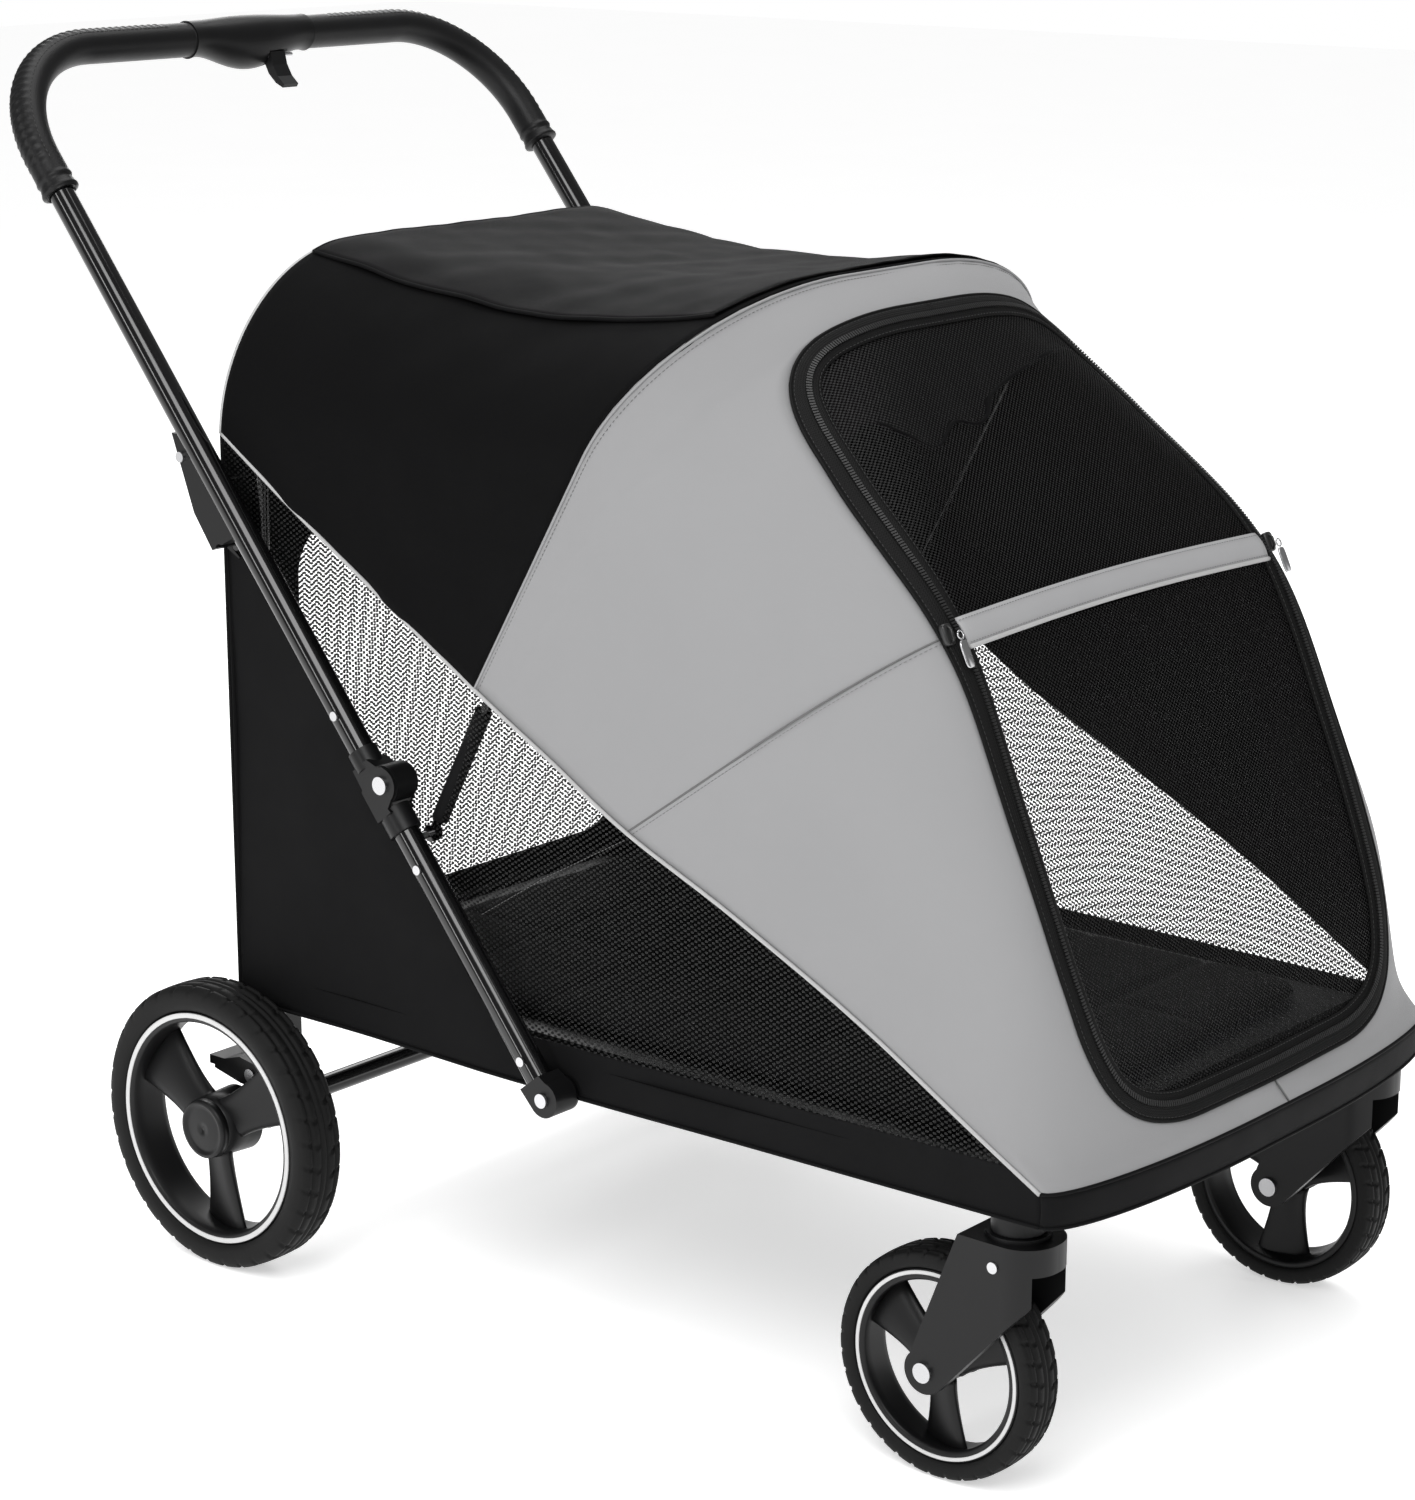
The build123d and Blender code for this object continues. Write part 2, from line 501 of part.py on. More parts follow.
def hub_body(bar):
    """A smooth swollen housing round the middle of the bar, deeper below the bar than above it."""
    sections = []
    half_widths = [-HUB_HALF_W, -0.55 * HUB_HALF_W, 0.0, 0.55 * HUB_HALF_W, HUB_HALF_W]
    depths = [17.0, 21.0, 30.0, 21.0, 17.0]
    for x, depth in zip(half_widths, depths):
        top = 17.0 + (depth - 17.0) * 0.15
        middle = bar[2] + (top - depth) / 2
        plane = Plane(origin=(x, bar[1], middle), x_dir=(0, 1, 0), z_dir=(1, 0, 0))
        sections.append(plane * Ellipse(16.5 + (depth - 17.0) * 0.3, (top + depth) / 2))
    return loft(Sketch() + sections)


def knuckles():
    """Upper halves of the fold knuckles: a tongue between the cheeks, a collar and a spigot in the tube."""
    radius = SIDE_TUBE_D / 2
    half = radius + 0.2
    low_x, high_x = SIDE_TUBE_X - half, SIDE_TUBE_X + half
    collar_from = KNUCKLE_DISC_R + 5
    body = cross_pin(low_x, high_x, FOLD_PIVOT, KNUCKLE_DISC_R)
    web = [
        along(0, -radius),
        along(0, radius),
        along(KNUCKLE_DISC_R - 3, FOLD_OFFSET + 4),
        along(collar_from + 5, radius - 1),
        along(collar_from + 5, 1 - radius),
    ]
    body += side_solid(web, low_x, high_x)
    start = (SIDE_TUBE_X, *along(collar_from, 0))
    middle = (SIDE_TUBE_X, *along(KNUCKLE_UP, 0))
    end = (SIDE_TUBE_X, *along(KNUCKLE_UP + 20, 0))
    body += rod(start, middle, SIDE_TUBE_D + 3)
    body += rod(start, end, SIDE_TUBE_D - 2 * SIDE_TUBE_WALL)
    split = 2 - KNUCKLE_DOWN / 2 + BODY_GAP
    tail = side_solid([along(-40, -40), along(-40, 60), along(split, 60), along(split, -40)], low_x - 9, high_x + 9)
    hole = cross_pin(low_x - 9, high_x + 9, FOLD_PIVOT, FOLD_PIN_R + RUNNING)
    write("upper_knuckles", both_sides(body - tail - hole))


def catch_plates(trigger_pin, tube):
    """Plates behind the handle legs; their open hooks catch the pins of the rear hoop."""
    catch = (HOOP_PIVOT[0] - 2, CATCH_Z)
    offset_y = catch[0] - FOLD_PIVOT[0]
    offset_z = catch[1] - FOLD_PIVOT[1]
    s = offset_y * cos(FORWARD) + offset_z * sin(FORWARD)
    n = -offset_y * sin(FORWARD) + offset_z * cos(FORWARD) + FOLD_OFFSET
    half = 7.0
    hook_reach = 42.0
    cheek = side_solid(
        [
            along(s - 6, -6),
            along(s + hook_reach, -6),
            along(s + hook_reach, n - 6),
            along(s + 4, n - 10),
            along(s - 10, n - 4),
        ],
        CATCH_LOW_X,
        CATCH_END_X,
    )
    root = side_solid(
        [
            along(s - 2, -6),
            along(s + 100, -6),
            along(s + 106, -13),
            along(s + 40, n - 6),
            along(s + 4, n - 8),
        ],
        CATCH_END_X,
        SIDE_TUBE_X + half,
    )
    plate = cheek + root
    mouth = (-0.79, -0.61)
    side = (-mouth[1], mouth[0])
    width = CATCH_PIN_R + BODY_GAP
    slot = [
        (catch[0] + width * side[0], catch[1] + width * side[1]),
        (catch[0] + width * side[0] + 60 * mouth[0], catch[1] + width * side[1] + 60 * mouth[1]),
        (catch[0] - width * side[0] + 60 * mouth[0], catch[1] - width * side[1] + 60 * mouth[1]),
        (catch[0] - width * side[0], catch[1] - width * side[1]),
    ]
    room = side_solid(slot, SIDE_TUBE_X - 20, SIDE_TUBE_X + 20)
    room += cross_pin(SIDE_TUBE_X - 20, SIDE_TUBE_X + 20, catch, width)
    plate = plate - room - tube
    plate = max(plate.solids(), key=lambda piece: piece.volume)
    write("catch_plates", both_sides(plate))
    lower_at = along(72, 2)
    outer = SIDE_TUBE_X + SIDE_TUBE_D / 2
    screws = both_sides(cross_pin(SIDE_TUBE_X + half, SIDE_TUBE_X + half + 2.5, along(s + 84, -16.5), 4.5))
    tube_screw = cross_pin(SIDE_TUBE_X + SIDE_TUBE_D / 2, outer + 2, lower_at, 4)
    screws += both_sides(tube_screw)
    write("handle_fasteners", screws + [trigger_pin])


# --- hoops inside the cabin ---
def rear_hoop():
    x = HOOP_X
    foot = HOOP_PIVOT
    top = CABIN_TOP_Z - CLOTH - CLOTH_GAP - HOOP_D / 2 - 3
    bend = ARCH_R - 14
    y_top = CABIN_REAR_Y - REAR_LEAN - CLOTH - CLOTH_GAP - HOOP_D / 2 - 4
    low = foot[1] + 14
    points = [(x, foot[0], low), (x, y_top, top), (-x, y_top, top), (-x, foot[0], low)]
    hoop = bent_tube(points, bend, HOOP_D, 1.5)
    end = rod((x, foot[0], foot[1]), (x, foot[0], low), HOOP_D)
    eye = cross_pin(x - HOOP_D / 2, x + HOOP_D / 2, foot, 9)
    hole = cross_pin(x - 20, x + 20, foot, LOWER_PIN_R + RUNNING)
    catch = cross_pin(x + HOOP_D / 2 - 1.4, CATCH_END_X, (foot[0] - 2, CATCH_Z), CATCH_PIN_R)
    body = hoop
    for item in both_sides(eye + end) + both_sides(catch):
        body += item
    for item in both_sides(hole):
        body -= item
    write("rear_hoop", body)


def canopy_bow():
    foot = BOW_PIVOT
    top = (BOW_TOP_Y + 12, CABIN_TOP_Z - CLOTH - CLOTH_GAP - BOW_D / 2 - 12)
    x = BOW_X
    points = [(x, *foot), (x, *top), (-x, *top), (-x, *foot)]
    bow = bent_tube(points, ARCH_R - 5, BOW_D, 1.2)
    body = bow
    for item in both_sides(cross_pin(x - BOW_D / 2, x + BOW_D / 2, foot, 7)):
        body += item
    for item in both_sides(cross_pin(x - 10, x + 10, foot, SMALL_SCREW_R + RUNNING)):
        body -= item
    write("canopy_bow", body)


# --- cabin cloth ---
def cabin_solid(inset):
    """The cabin's outer form, or the same form pulled in on every side but its open bottom."""
    rear = CABIN_REAR_Y - inset
    top = CABIN_TOP_Z - inset
    low = CABIN_BOTTOM_Z - (20 if inset else 0)
    nose = CABIN_NOSE_Y + inset
    front = [
        (CABIN_NOSE_Y + 6, CABIN_BOTTOM_Z),
        (CABIN_NOSE_Y, CABIN_BOTTOM_Z + 20),
        (CABIN_NOSE_Y + 15, DOOR_BOTTOM_Z),
        (-488, 478),
        (CROSSBAR_Y, CROSSBAR_Z),
        (-310, 757),
        (-221, DOOR_TOP_Z + 2),
        (BOW_TOP_Y, CABIN_TOP_Z),
    ]
    pulled = [(y + inset, z - inset) for y, z in front]
    foot = pulled[0]
    roof_front = pulled[-1]
    roof = Spline(roof_front, ((BOW_TOP_Y + rear) / 2, top - ROOF_SAG), (rear - REAR_LEAN, top))
    back = Polyline((rear - REAR_LEAN, top), (rear, PIPING[0][1]), (rear, low), (foot[0], low))
    edges = Spline(*pulled) + roof + back
    if inset:
        edges += Line((foot[0], low), foot)
    profile = extrude(Plane.YZ.offset(-400) * make_face(edges), 800)
    half = CABIN_HALF_W - inset
    radius = ARCH_R - inset
    arch = make_face(
        Polyline((-half, top - radius), (-half, low), (half, low), (half, top - radius))
        + RadiusArc((half, top - radius), (half - radius, top), -radius)
        + Line((half - radius, top), (radius - half, top))
        + RadiusArc((radius - half, top), (-half, top - radius), -radius)
    )
    tunnel = extrude(Plane(origin=(0, 400, 0), x_dir=(1, 0, 0), z_dir=(0, -1, 0)) * arch, 1100)
    nose_half = CABIN_NOSE_HALF_W - inset
    corner = CABIN_CORNER_Y + inset
    taper = BOW_TOP_Y - 10
    plan = make_face(
        Polyline(
            (-nose_half, corner),
            (-half, taper),
            (-half, 400),
            (half, 400),
            (half, taper),
            (nose_half, corner),
        )
        + ThreePointArc((nose_half, corner), (0, nose), (-nose_half, corner))
    )
    column = extrude(Plane.XY.offset(150) * plan, 800)
    return profile & tunnel & column


def door_outline(inset):
    """The zip's line in front view: straight sides, rounded corners."""
    half = DOOR_HALF_W - inset
    top_half = DOOR_TOP_HALF_W - inset
    low = DOOR_BOTTOM_Z + inset
    high = DOOR_TOP_Z - inset
    outline = FilletPolyline(
        (-half + 8, low),
        (half - 8, low),
        (half, CROSSBAR_Z),
        (top_half, high),
        (-top_half, high),
        (-half, CROSSBAR_Z),
        radius=50 - inset / 2,
        close=True,
    )
    return extrude(Plane(origin=(0, -190, 0), x_dir=(1, 0, 0), z_dir=(0, -1, 0)) * make_face(outline), 450)


BEYOND = 750.0          # cutting shapes end this far out, past every side of the cabin
BEYOND_Z = CABIN_TOP_Z + 100.0


def cabin():
    shell = cabin_solid(0) - cabin_solid(CLOTH)
    low_ends = [(-BEYOND, BAND_TOP_Z), (-BEYOND, 100), (BEYOND, 100)]
    below = side_solid([(BEYOND, PIPING[0][1])] + PIPING + low_ends, -BEYOND, BEYOND)
    band_zone = block(-BEYOND, BEYOND, -BEYOND, CABIN_CORNER_Y + 6, 100, BAND_TOP_Z)
    rear_in = CABIN_REAR_Y - CLOTH
    rear_zone = side_solid(
        [
            (rear_in, 100),
            (rear_in, PIPING[0][1]),
            (rear_in - REAR_LEAN, CABIN_TOP_Z),
            (rear_in - REAR_LEAN, BEYOND_Z),
            (BEYOND, BEYOND_Z),
            (BEYOND, 100),
        ],
        -BEYOND,
        BEYOND,
    )
    bow_zone = side_solid(
        [
            (BOW_FOOT[0] + 200, 200),
            BOW_FOOT,
            (BOW_TOP_Y, CABIN_TOP_Z),
            (BOW_TOP_Y, BEYOND_Z),
            (-BEYOND, BEYOND_Z),
            (-BEYOND, 200),
        ],
        -BEYOND,
        BEYOND,
    )
    outer_door = door_outline(0)
    inner_door = door_outline(ZIP_W)
    catch = (HOOP_PIVOT[0] - 2, CATCH_Z)
    pin_rooms = [
        cross_pin(200, 400, along_bracket(), SMALL_SCREW_R + CLOTH_GAP),
        cross_pin(200, 400, BOW_PIVOT, SMALL_SCREW_R + CLOTH_GAP),
        cross_pin(200, 400, catch, CATCH_PIN_R + CLOTH_GAP),
    ]
    side = (shell & below) - band_zone - rear_zone
    for room in pin_rooms:
        for one in both_sides(room):
            side -= one
    write("side_panel_left", side & block(0, BEYOND, -BEYOND, BEYOND, 100, BEYOND_Z))
    write("side_panel_right", side & block(-BEYOND, 0, -BEYOND, BEYOND, 100, BEYOND_Z))
    write("nose_band", shell & band_zone)
    write("rear_panel", shell & rear_zone)
    hood = shell - below - band_zone - rear_zone
    write("canopy_rear", hood - bow_zone)
    front = (hood & bow_zone) - outer_door
    write("canopy_front", front)
    window_low = CROSSBAR_Z + CROSSBAR_H / 2
    door_high = CROSSBAR_Z - CROSSBAR_H / 2
    opening = shell & inner_door
    gap = 0.6
    trimmed = shell & door_outline(ZIP_W + gap)
    write("window_upper", trimmed & block(-BEYOND, BEYOND, -BEYOND, 0, window_low + gap, BEYOND_Z))
    write("door_lower", trimmed & block(-BEYOND, BEYOND, -BEYOND, 0, 100, door_high - gap))
    band = opening & block(-BEYOND, BEYOND, -BEYOND, 0, door_high, window_low)
    stay_y = CROSSBAR_Y + 2 * CLOTH + STAY_D
    half = DOOR_HALF_W - ZIP_W - 4
    write("crossbar_band", band)
    write("crossbar_stay", rod((-half, stay_y, CROSSBAR_Z), (half, stay_y, CROSSBAR_Z), STAY_D) - shell)
    border = (shell & outer_door) - inner_door
    write("zip_border", border)
    zip_pulls()


def zip_pulls():
    """Two pull tabs that hang down the front from the ends of the zips."""
    down = (-0.426, -0.905)
    out = (-0.905, 0.426)
    start = (CROSSBAR_Y + 9 * out[0], CROSSBAR_Z + 9 * out[1])
    tab = side_solid(
        [
            (start[0] - 1.2 * out[0], start[1] - 1.2 * out[1]),
            (start[0] + 1.2 * out[0], start[1] + 1.2 * out[1]),
            (start[0] + 30 * down[0] + 1.2 * out[0], start[1] + 30 * down[1] + 1.2 * out[1]),
            (start[0] + 30 * down[0] - 1.2 * out[0], start[1] + 30 * down[1] - 1.2 * out[1]),
        ],
        DOOR_HALF_W - 11,
        DOOR_HALF_W - 1,
    )
    write("zip_pull_left", tab)
    write("zip_pull_right", mirror(tab, about=Plane.YZ))


# --- brake ---
def brakes():
    """A lever on each rear leg; its tooth drops beside the hub and its pad is pushed with the foot."""
    low = LEG_X + LEG_THICK / 2 + 1
    high = REAR_WHEEL_X - REAR_WHEEL_WIDTH / 2 - 3
    pivot = (REAR_AXLE_Y - 9, REAR_AXLE_Z + 38)
    arm = side_solid(
        [
            (pivot[0] - 12, pivot[1] - 12),
            (pivot[0] - 12, pivot[1] + 10),
            (pivot[0] + 14, pivot[1] + 14),
            (pivot[0] + 46, pivot[1] + 4),
            (pivot[0] + 46, pivot[1] - 3),
            (pivot[0] + 14, pivot[1] - 10),
        ],
        low,
        high,
    )
    pad = block(low - 10, high, pivot[0] + 32, pivot[0] + 52, pivot[1], pivot[1] + 8)
    lever = arm + pad - cross_pin(low - 1, high + 1, pivot, SMALL_SCREW_R + RUNNING)
    write("brake_lever_left", lever)
    write("brake_lever_right", mirror(lever, about=Plane.YZ))
    pin = cross_pin(LEG_X + LEG_THICK / 2, high, pivot, SMALL_SCREW_R)
    pin += cross_pin(high + 0.3, high + 2, pivot, 6) + cross_pin(high - 1, high + 1, pivot, SMALL_SCREW_R)
    return both_sides(pin)


os.makedirs("parts", exist_ok=True)
for side in (1, -1):
    rear_wheel(side)
    front_wheel(side)
    caster(side)
base_frame()
lower_pivots(brakes())
lower_frame()
handle()
rear_hoop()
canopy_bow()
cabin()
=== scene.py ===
import json
import math

import bmesh
import bpy
import numpy as np
from mathutils import Matrix, Vector


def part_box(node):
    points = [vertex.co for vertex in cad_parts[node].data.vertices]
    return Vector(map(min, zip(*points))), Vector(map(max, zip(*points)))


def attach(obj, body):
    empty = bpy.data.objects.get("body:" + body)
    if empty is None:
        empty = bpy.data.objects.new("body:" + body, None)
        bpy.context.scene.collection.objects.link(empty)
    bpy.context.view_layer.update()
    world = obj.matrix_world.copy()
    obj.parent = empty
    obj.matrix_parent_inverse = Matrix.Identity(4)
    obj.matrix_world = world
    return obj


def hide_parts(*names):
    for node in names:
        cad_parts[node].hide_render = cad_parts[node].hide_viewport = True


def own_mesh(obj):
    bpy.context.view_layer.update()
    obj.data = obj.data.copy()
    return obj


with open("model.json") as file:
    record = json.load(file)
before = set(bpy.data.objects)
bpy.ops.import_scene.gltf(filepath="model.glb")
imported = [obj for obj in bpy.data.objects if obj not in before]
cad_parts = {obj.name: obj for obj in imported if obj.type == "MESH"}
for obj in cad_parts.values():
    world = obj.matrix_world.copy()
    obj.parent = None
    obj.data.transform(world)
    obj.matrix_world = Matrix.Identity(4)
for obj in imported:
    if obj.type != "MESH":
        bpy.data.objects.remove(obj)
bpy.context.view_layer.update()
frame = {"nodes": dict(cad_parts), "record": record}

# Visual model of the folding pet stroller. Sizes below are millimetres of the CAD frame; MM turns them
# into metres where a mesh is made. The stroller's left is +X, the nose points to -Y, Z is up.
MM = 0.001
NODES = frame["nodes"]
SIDES = ((1, "left"), (-1, "right"))


def box_mm(node):
    """Low and high corner of a CAD node's box, in millimetres."""
    low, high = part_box(node)
    return np.array(low) / MM, np.array(high) / MM


# ---------------------------------------------------------------- materials
def put(tree, kind, inputs=None, **settings):
    """A shader node with its settings and inputs; an input that is a socket is linked."""
    node = tree.nodes.new(kind)
    for key, value in settings.items():
        setattr(node, key, value)
    for key, value in (inputs or {}).items():
        if isinstance(value, bpy.types.NodeSocket):
            tree.links.new(value, node.inputs[key])
        else:
            node.inputs[key].default_value = value
    return node


def calc(tree, operation, a, b=0.0, c=0.0, clamp=False):
    return put(tree, "ShaderNodeMath", {0: a, 1: b, 2: c}, operation=operation, use_clamp=clamp).outputs[0]


def tinted(tree, factor, low, high):
    """Colour between two shades, by a factor."""
    mix = put(tree, "ShaderNodeMix", {"Factor": factor}, data_type="RGBA")
    mix.inputs[6].default_value = (*low, 1)
    mix.inputs[7].default_value = (*high, 1)
    return mix.outputs[2]


def coordinates(tree, uv):
    if uv:
        return put(tree, "ShaderNodeUVMap", uv_map="cloth").outputs[0]
    return put(tree, "ShaderNodeTexCoord").outputs["Object"]


def weave(tree, place, pitch_u, pitch_v, three=False):
    """Over-and-under threads: 0 in the gaps, 1 on the crowns."""
    parts = put(tree, "ShaderNodeSeparateXYZ", {0: place}).outputs
    second = parts[2] if three else parts[1]
    first = calc(tree, "ADD", parts[0], parts[1]) if three else parts[0]
    u = calc(tree, "SINE", calc(tree, "MULTIPLY", first, 2 * math.pi / pitch_u))
    v = calc(tree, "SINE", calc(tree, "MULTIPLY", second, 2 * math.pi / pitch_v))
    return calc(tree, "MULTIPLY_ADD", calc(tree, "MULTIPLY", u, v), 0.5, 0.5)


def surface(name, colour, rough, spread=0.2, mottle=30.0, bump="grain", pitch=0.001, depth=0.0002,
            strength=0.4,
            metal=0.0, sheen=0.0, coat=0.0, specular=0.5, holes=None, uv=False, rough_spread=0.08):
    """A procedural finish. bump is grain, leather, brushed, weave or rib.

    holes is (pitch u, pitch v, open share).
    """
    mat = bpy.data.materials.new(name)
    mat.use_nodes = True
    tree = mat.node_tree
    shader = tree.nodes["Principled BSDF"]
    place = coordinates(tree, uv)
    space = coordinates(tree, False)
    patches = put(tree, "ShaderNodeTexNoise",
                  {"Vector": space, "Scale": mottle, "Detail": 3.0}).outputs["Fac"]
    if bump == "leather":
        cells = put(tree, "ShaderNodeTexVoronoi", {"Vector": space, "Scale": 1 / pitch}, feature="SMOOTH_F1")
        height = calc(tree, "SUBTRACT", 1.0, cells.outputs["Distance"])
    elif bump == "brushed":
        stretched = put(tree, "ShaderNodeMapping", {"Vector": space, "Scale": (0.15, 1.0, 1.0)}).outputs[0]
        height = put(tree, "ShaderNodeTexNoise",
                     {"Vector": stretched, "Scale": 1 / pitch, "Detail": 2.0}).outputs["Fac"]
    elif bump == "weave":
        height = weave(tree, place, pitch, pitch, three=not uv)
    elif bump == "rib":
        parts = put(tree, "ShaderNodeSeparateXYZ", {0: place}).outputs
        wave = calc(tree, "SINE", calc(tree, "MULTIPLY", parts[1], 2 * math.pi / pitch))
        knots = weave(tree, place, pitch * 1.5, pitch)
        height = calc(tree, "MULTIPLY_ADD", wave, 0.35, knots)
    else:
        height = put(tree, "ShaderNodeTexNoise",
                     {"Vector": space, "Scale": 1 / pitch, "Detail": 4.0}).outputs["Fac"]
    factor = calc(tree, "MULTIPLY_ADD", height, 0.5, calc(tree, "MULTIPLY", patches, 0.5))
    low = [c * (1 - spread) for c in colour]
    high = [min(1.0, c * (1 + spread)) for c in colour]
    tree.links.new(tinted(tree, factor, low, high), shader.inputs["Base Color"])
    tree.links.new(calc(tree, "MULTIPLY_ADD", patches, 2 * rough_spread, rough - rough_spread),
                   shader.inputs["Roughness"])
    relief = put(tree, "ShaderNodeBump", {"Height": height, "Strength": strength, "Distance": depth})
    tree.links.new(relief.outputs[0], shader.inputs["Normal"])
    shader.inputs["Metallic"].default_value = metal
    shader.inputs["Specular IOR Level"].default_value = specular
    shader.inputs["Sheen Weight"].default_value = sheen
    shader.inputs["Sheen Roughness"].default_value = 0.4
    shader.inputs["Coat Weight"].default_value = coat
    shader.inputs["Coat Roughness"].default_value = 0.12
    if holes:
        pitch_u, pitch_v, share = holes
        pattern = weave(tree, place, pitch_u, pitch_v)
        cover = calc(tree, "MULTIPLY_ADD", calc(tree, "SUBTRACT", 1 - share, pattern), 6.0, 0.5, clamp=True)
        tree.links.new(cover, shader.inputs["Alpha"])
    return mat


FINISH = {
    "painted_tube": surface("gloss_black_paint", (0.002, 0.002, 0.0022), 0.11, pitch=0.004, depth=0.00002,
                            strength=0.3, specular=0.6),
    "black_plastic": surface("moulded_plastic", (0.004, 0.004, 0.0043), 0.40, pitch=0.0009, depth=0.00005,
                             strength=0.35, specular=0.25),
    "tyre": surface("tyre_rubber", (0.006, 0.006, 0.006), 0.60, pitch=0.0012, depth=0.00008, strength=0.4,
                    specular=0.14),
    "bright_steel": surface("zinc_plated_steel", (0.55, 0.55, 0.56), 0.28, spread=0.1, bump="brushed",
                            pitch=0.0006, depth=0.00003, metal=1.0),
    "grip_leather": surface("grip_leatherette", (0.005, 0.005, 0.0053), 0.42, specular=0.24, bump="leather",
                            pitch=0.0011, depth=0.0002, strength=0.5),
    "black_fabric": surface("oxford_cloth_black", (0.0028, 0.0028, 0.0031), 0.78, bump="weave", pitch=0.0011,
                            depth=0.00025, strength=0.5, sheen=0.012, specular=0.12, uv=True),
    "gray_fabric": surface("oxford_cloth_gray", (0.24, 0.24, 0.244), 0.72, spread=0.06, mottle=14.0,
                           bump="weave", pitch=0.0010,
                           depth=0.00022, strength=0.35, sheen=0.1, specular=0.3, uv=True),
    "mat_fabric": surface("mat_plush", (0.0035, 0.0035, 0.0038), 0.9, bump="weave", pitch=0.003,
                          depth=0.0008, sheen=0.02, specular=0.1),
}
BLACK_CLOTH = FINISH["black_fabric"]
LINING = surface("lining_cloth", (0.002, 0.002, 0.0022), 0.85, bump="weave", pitch=0.0014, depth=0.0002,
                 sheen=0.01, specular=0.08)
NET_WIDE = surface("side_net", (0.006, 0.006, 0.006), 0.6, bump="weave", pitch=0.0042, depth=0.0003,
                   holes=(0.0070, 0.0046, 0.57), uv=True, specular=0.2)
NET_FINE = surface("door_net", (0.006, 0.006, 0.006), 0.55, bump="weave", pitch=0.003, depth=0.0003,
                   holes=(0.0044, 0.0036, 0.52), uv=True, specular=0.22)
TAPE = surface("zip_tape", (0.004, 0.004, 0.004), 0.7, bump="rib", pitch=0.0016, depth=0.0004, strength=0.7,
               uv=True, specular=0.15)
TEETH = surface("zip_teeth", (0.012, 0.012, 0.012), 0.35, pitch=0.001, depth=0.00003)
PALE_RING = surface("pale_ring", (0.52, 0.52, 0.52), 0.4, spread=0.05, pitch=0.002, depth=0.00003)
PIPED = surface("piping_gray", (0.36, 0.36, 0.36), 0.55, spread=0.1, bump="weave", pitch=0.0014, depth=0.0002)
SEAM = surface("seam_thread", (0.10, 0.10, 0.10), 0.7, spread=0.2, pitch=0.0008, depth=0.0001)
DARK_THREAD = surface("dark_thread", (0.020, 0.020, 0.020), 0.6, spread=0.3, pitch=0.0008, depth=0.0001)
SATIN = surface("crossbar_satin", (0.29, 0.29, 0.295), 0.42, spread=0.08, bump="weave", pitch=0.0009,
                depth=0.0001, sheen=0.1)


def piece(name, verts, faces, mat, body, slot=None, replaces=(), soft=False, uv=None, thick=0.0, lining=None,
          smooth=True):
    """A mesh in millimetres, made into a piece that rides on a CAD body; uv is in metres."""
    mesh = bpy.data.meshes.new(name)
    mesh.from_pydata([tuple(float(c) * MM for c in v) for v in verts], [],
                     [tuple(int(i) for i in f) for f in faces])
    mesh.validate()
    if uv is not None:
        layer = mesh.uv_layers.new(name="cloth")
        index = np.zeros(len(mesh.loops), int)
        mesh.loops.foreach_get("vertex_index", index)
        layer.data.foreach_set("uv", np.asarray(uv, float)[index].astype(np.float32).ravel())
    mesh.materials.append(mat)
    mesh.polygons.foreach_set("use_smooth", [smooth] * len(mesh.polygons))
    obj = bpy.data.objects.new(name, mesh)
    bpy.context.scene.collection.objects.link(obj)
    if thick:
        mesh.materials.append(lining or mat)
        shell = obj.modifiers.new("thickness", "SOLIDIFY")
        shell.thickness = thick * MM
        shell.offset = -1
        shell.material_offset = 1 if lining else 0
    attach(obj, body)
    if replaces:
        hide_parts(*replaces)
    if soft:
        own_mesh(obj)
    return obj


def grid_faces(rows, columns, closed=False):
    """Quads of a grid stored row by row; closed joins the last column to the first."""
    faces = []
    for i in range(rows - 1):
        for j in range(columns if closed else columns - 1):
            k = (j + 1) % columns
            faces.append((i * columns + j, i * columns + k, (i + 1) * columns + k, (i + 1) * columns + j))
    return faces


def capped_grid(rows, columns):
    """Quads of a strip closed round, with a face over each end."""
    last = (rows - 1) * columns
    ends = [tuple(range(columns))[::-1], tuple(range(last, last + columns))]
    return grid_faces(rows, columns, closed=True) + ends


def flipped(faces):
    """The same faces, turned over."""
    return [tuple(reversed(f)) for f in faces]


def lengths(points):
    """Distance along a line of points."""
    steps = np.linalg.norm(np.diff(points, axis=0), axis=1)
    return np.concatenate([[0], np.cumsum(steps)])


def tangents(line, closed=False):
    """Unit directions along a line of points."""
    if closed:
        along = np.roll(line, -1, axis=0) - np.roll(line, 1, axis=0)
    else:
        along = np.gradient(line, axis=0)
    return along / np.linalg.norm(along, axis=1)[:, None]


def respaced(points, step, closed=False):
    points = np.asarray(points, float)
    if closed:
        points = np.vstack([points, points[:1]])
    run = lengths(points)
    count = max(2, int(round(run[-1] / step)) + 1)
    at = np.linspace(0, run[-1], count)
    line = np.stack([np.interp(at, run, points[:, i]) for i in range(3)], axis=1)
    return line[:-1] if closed else line


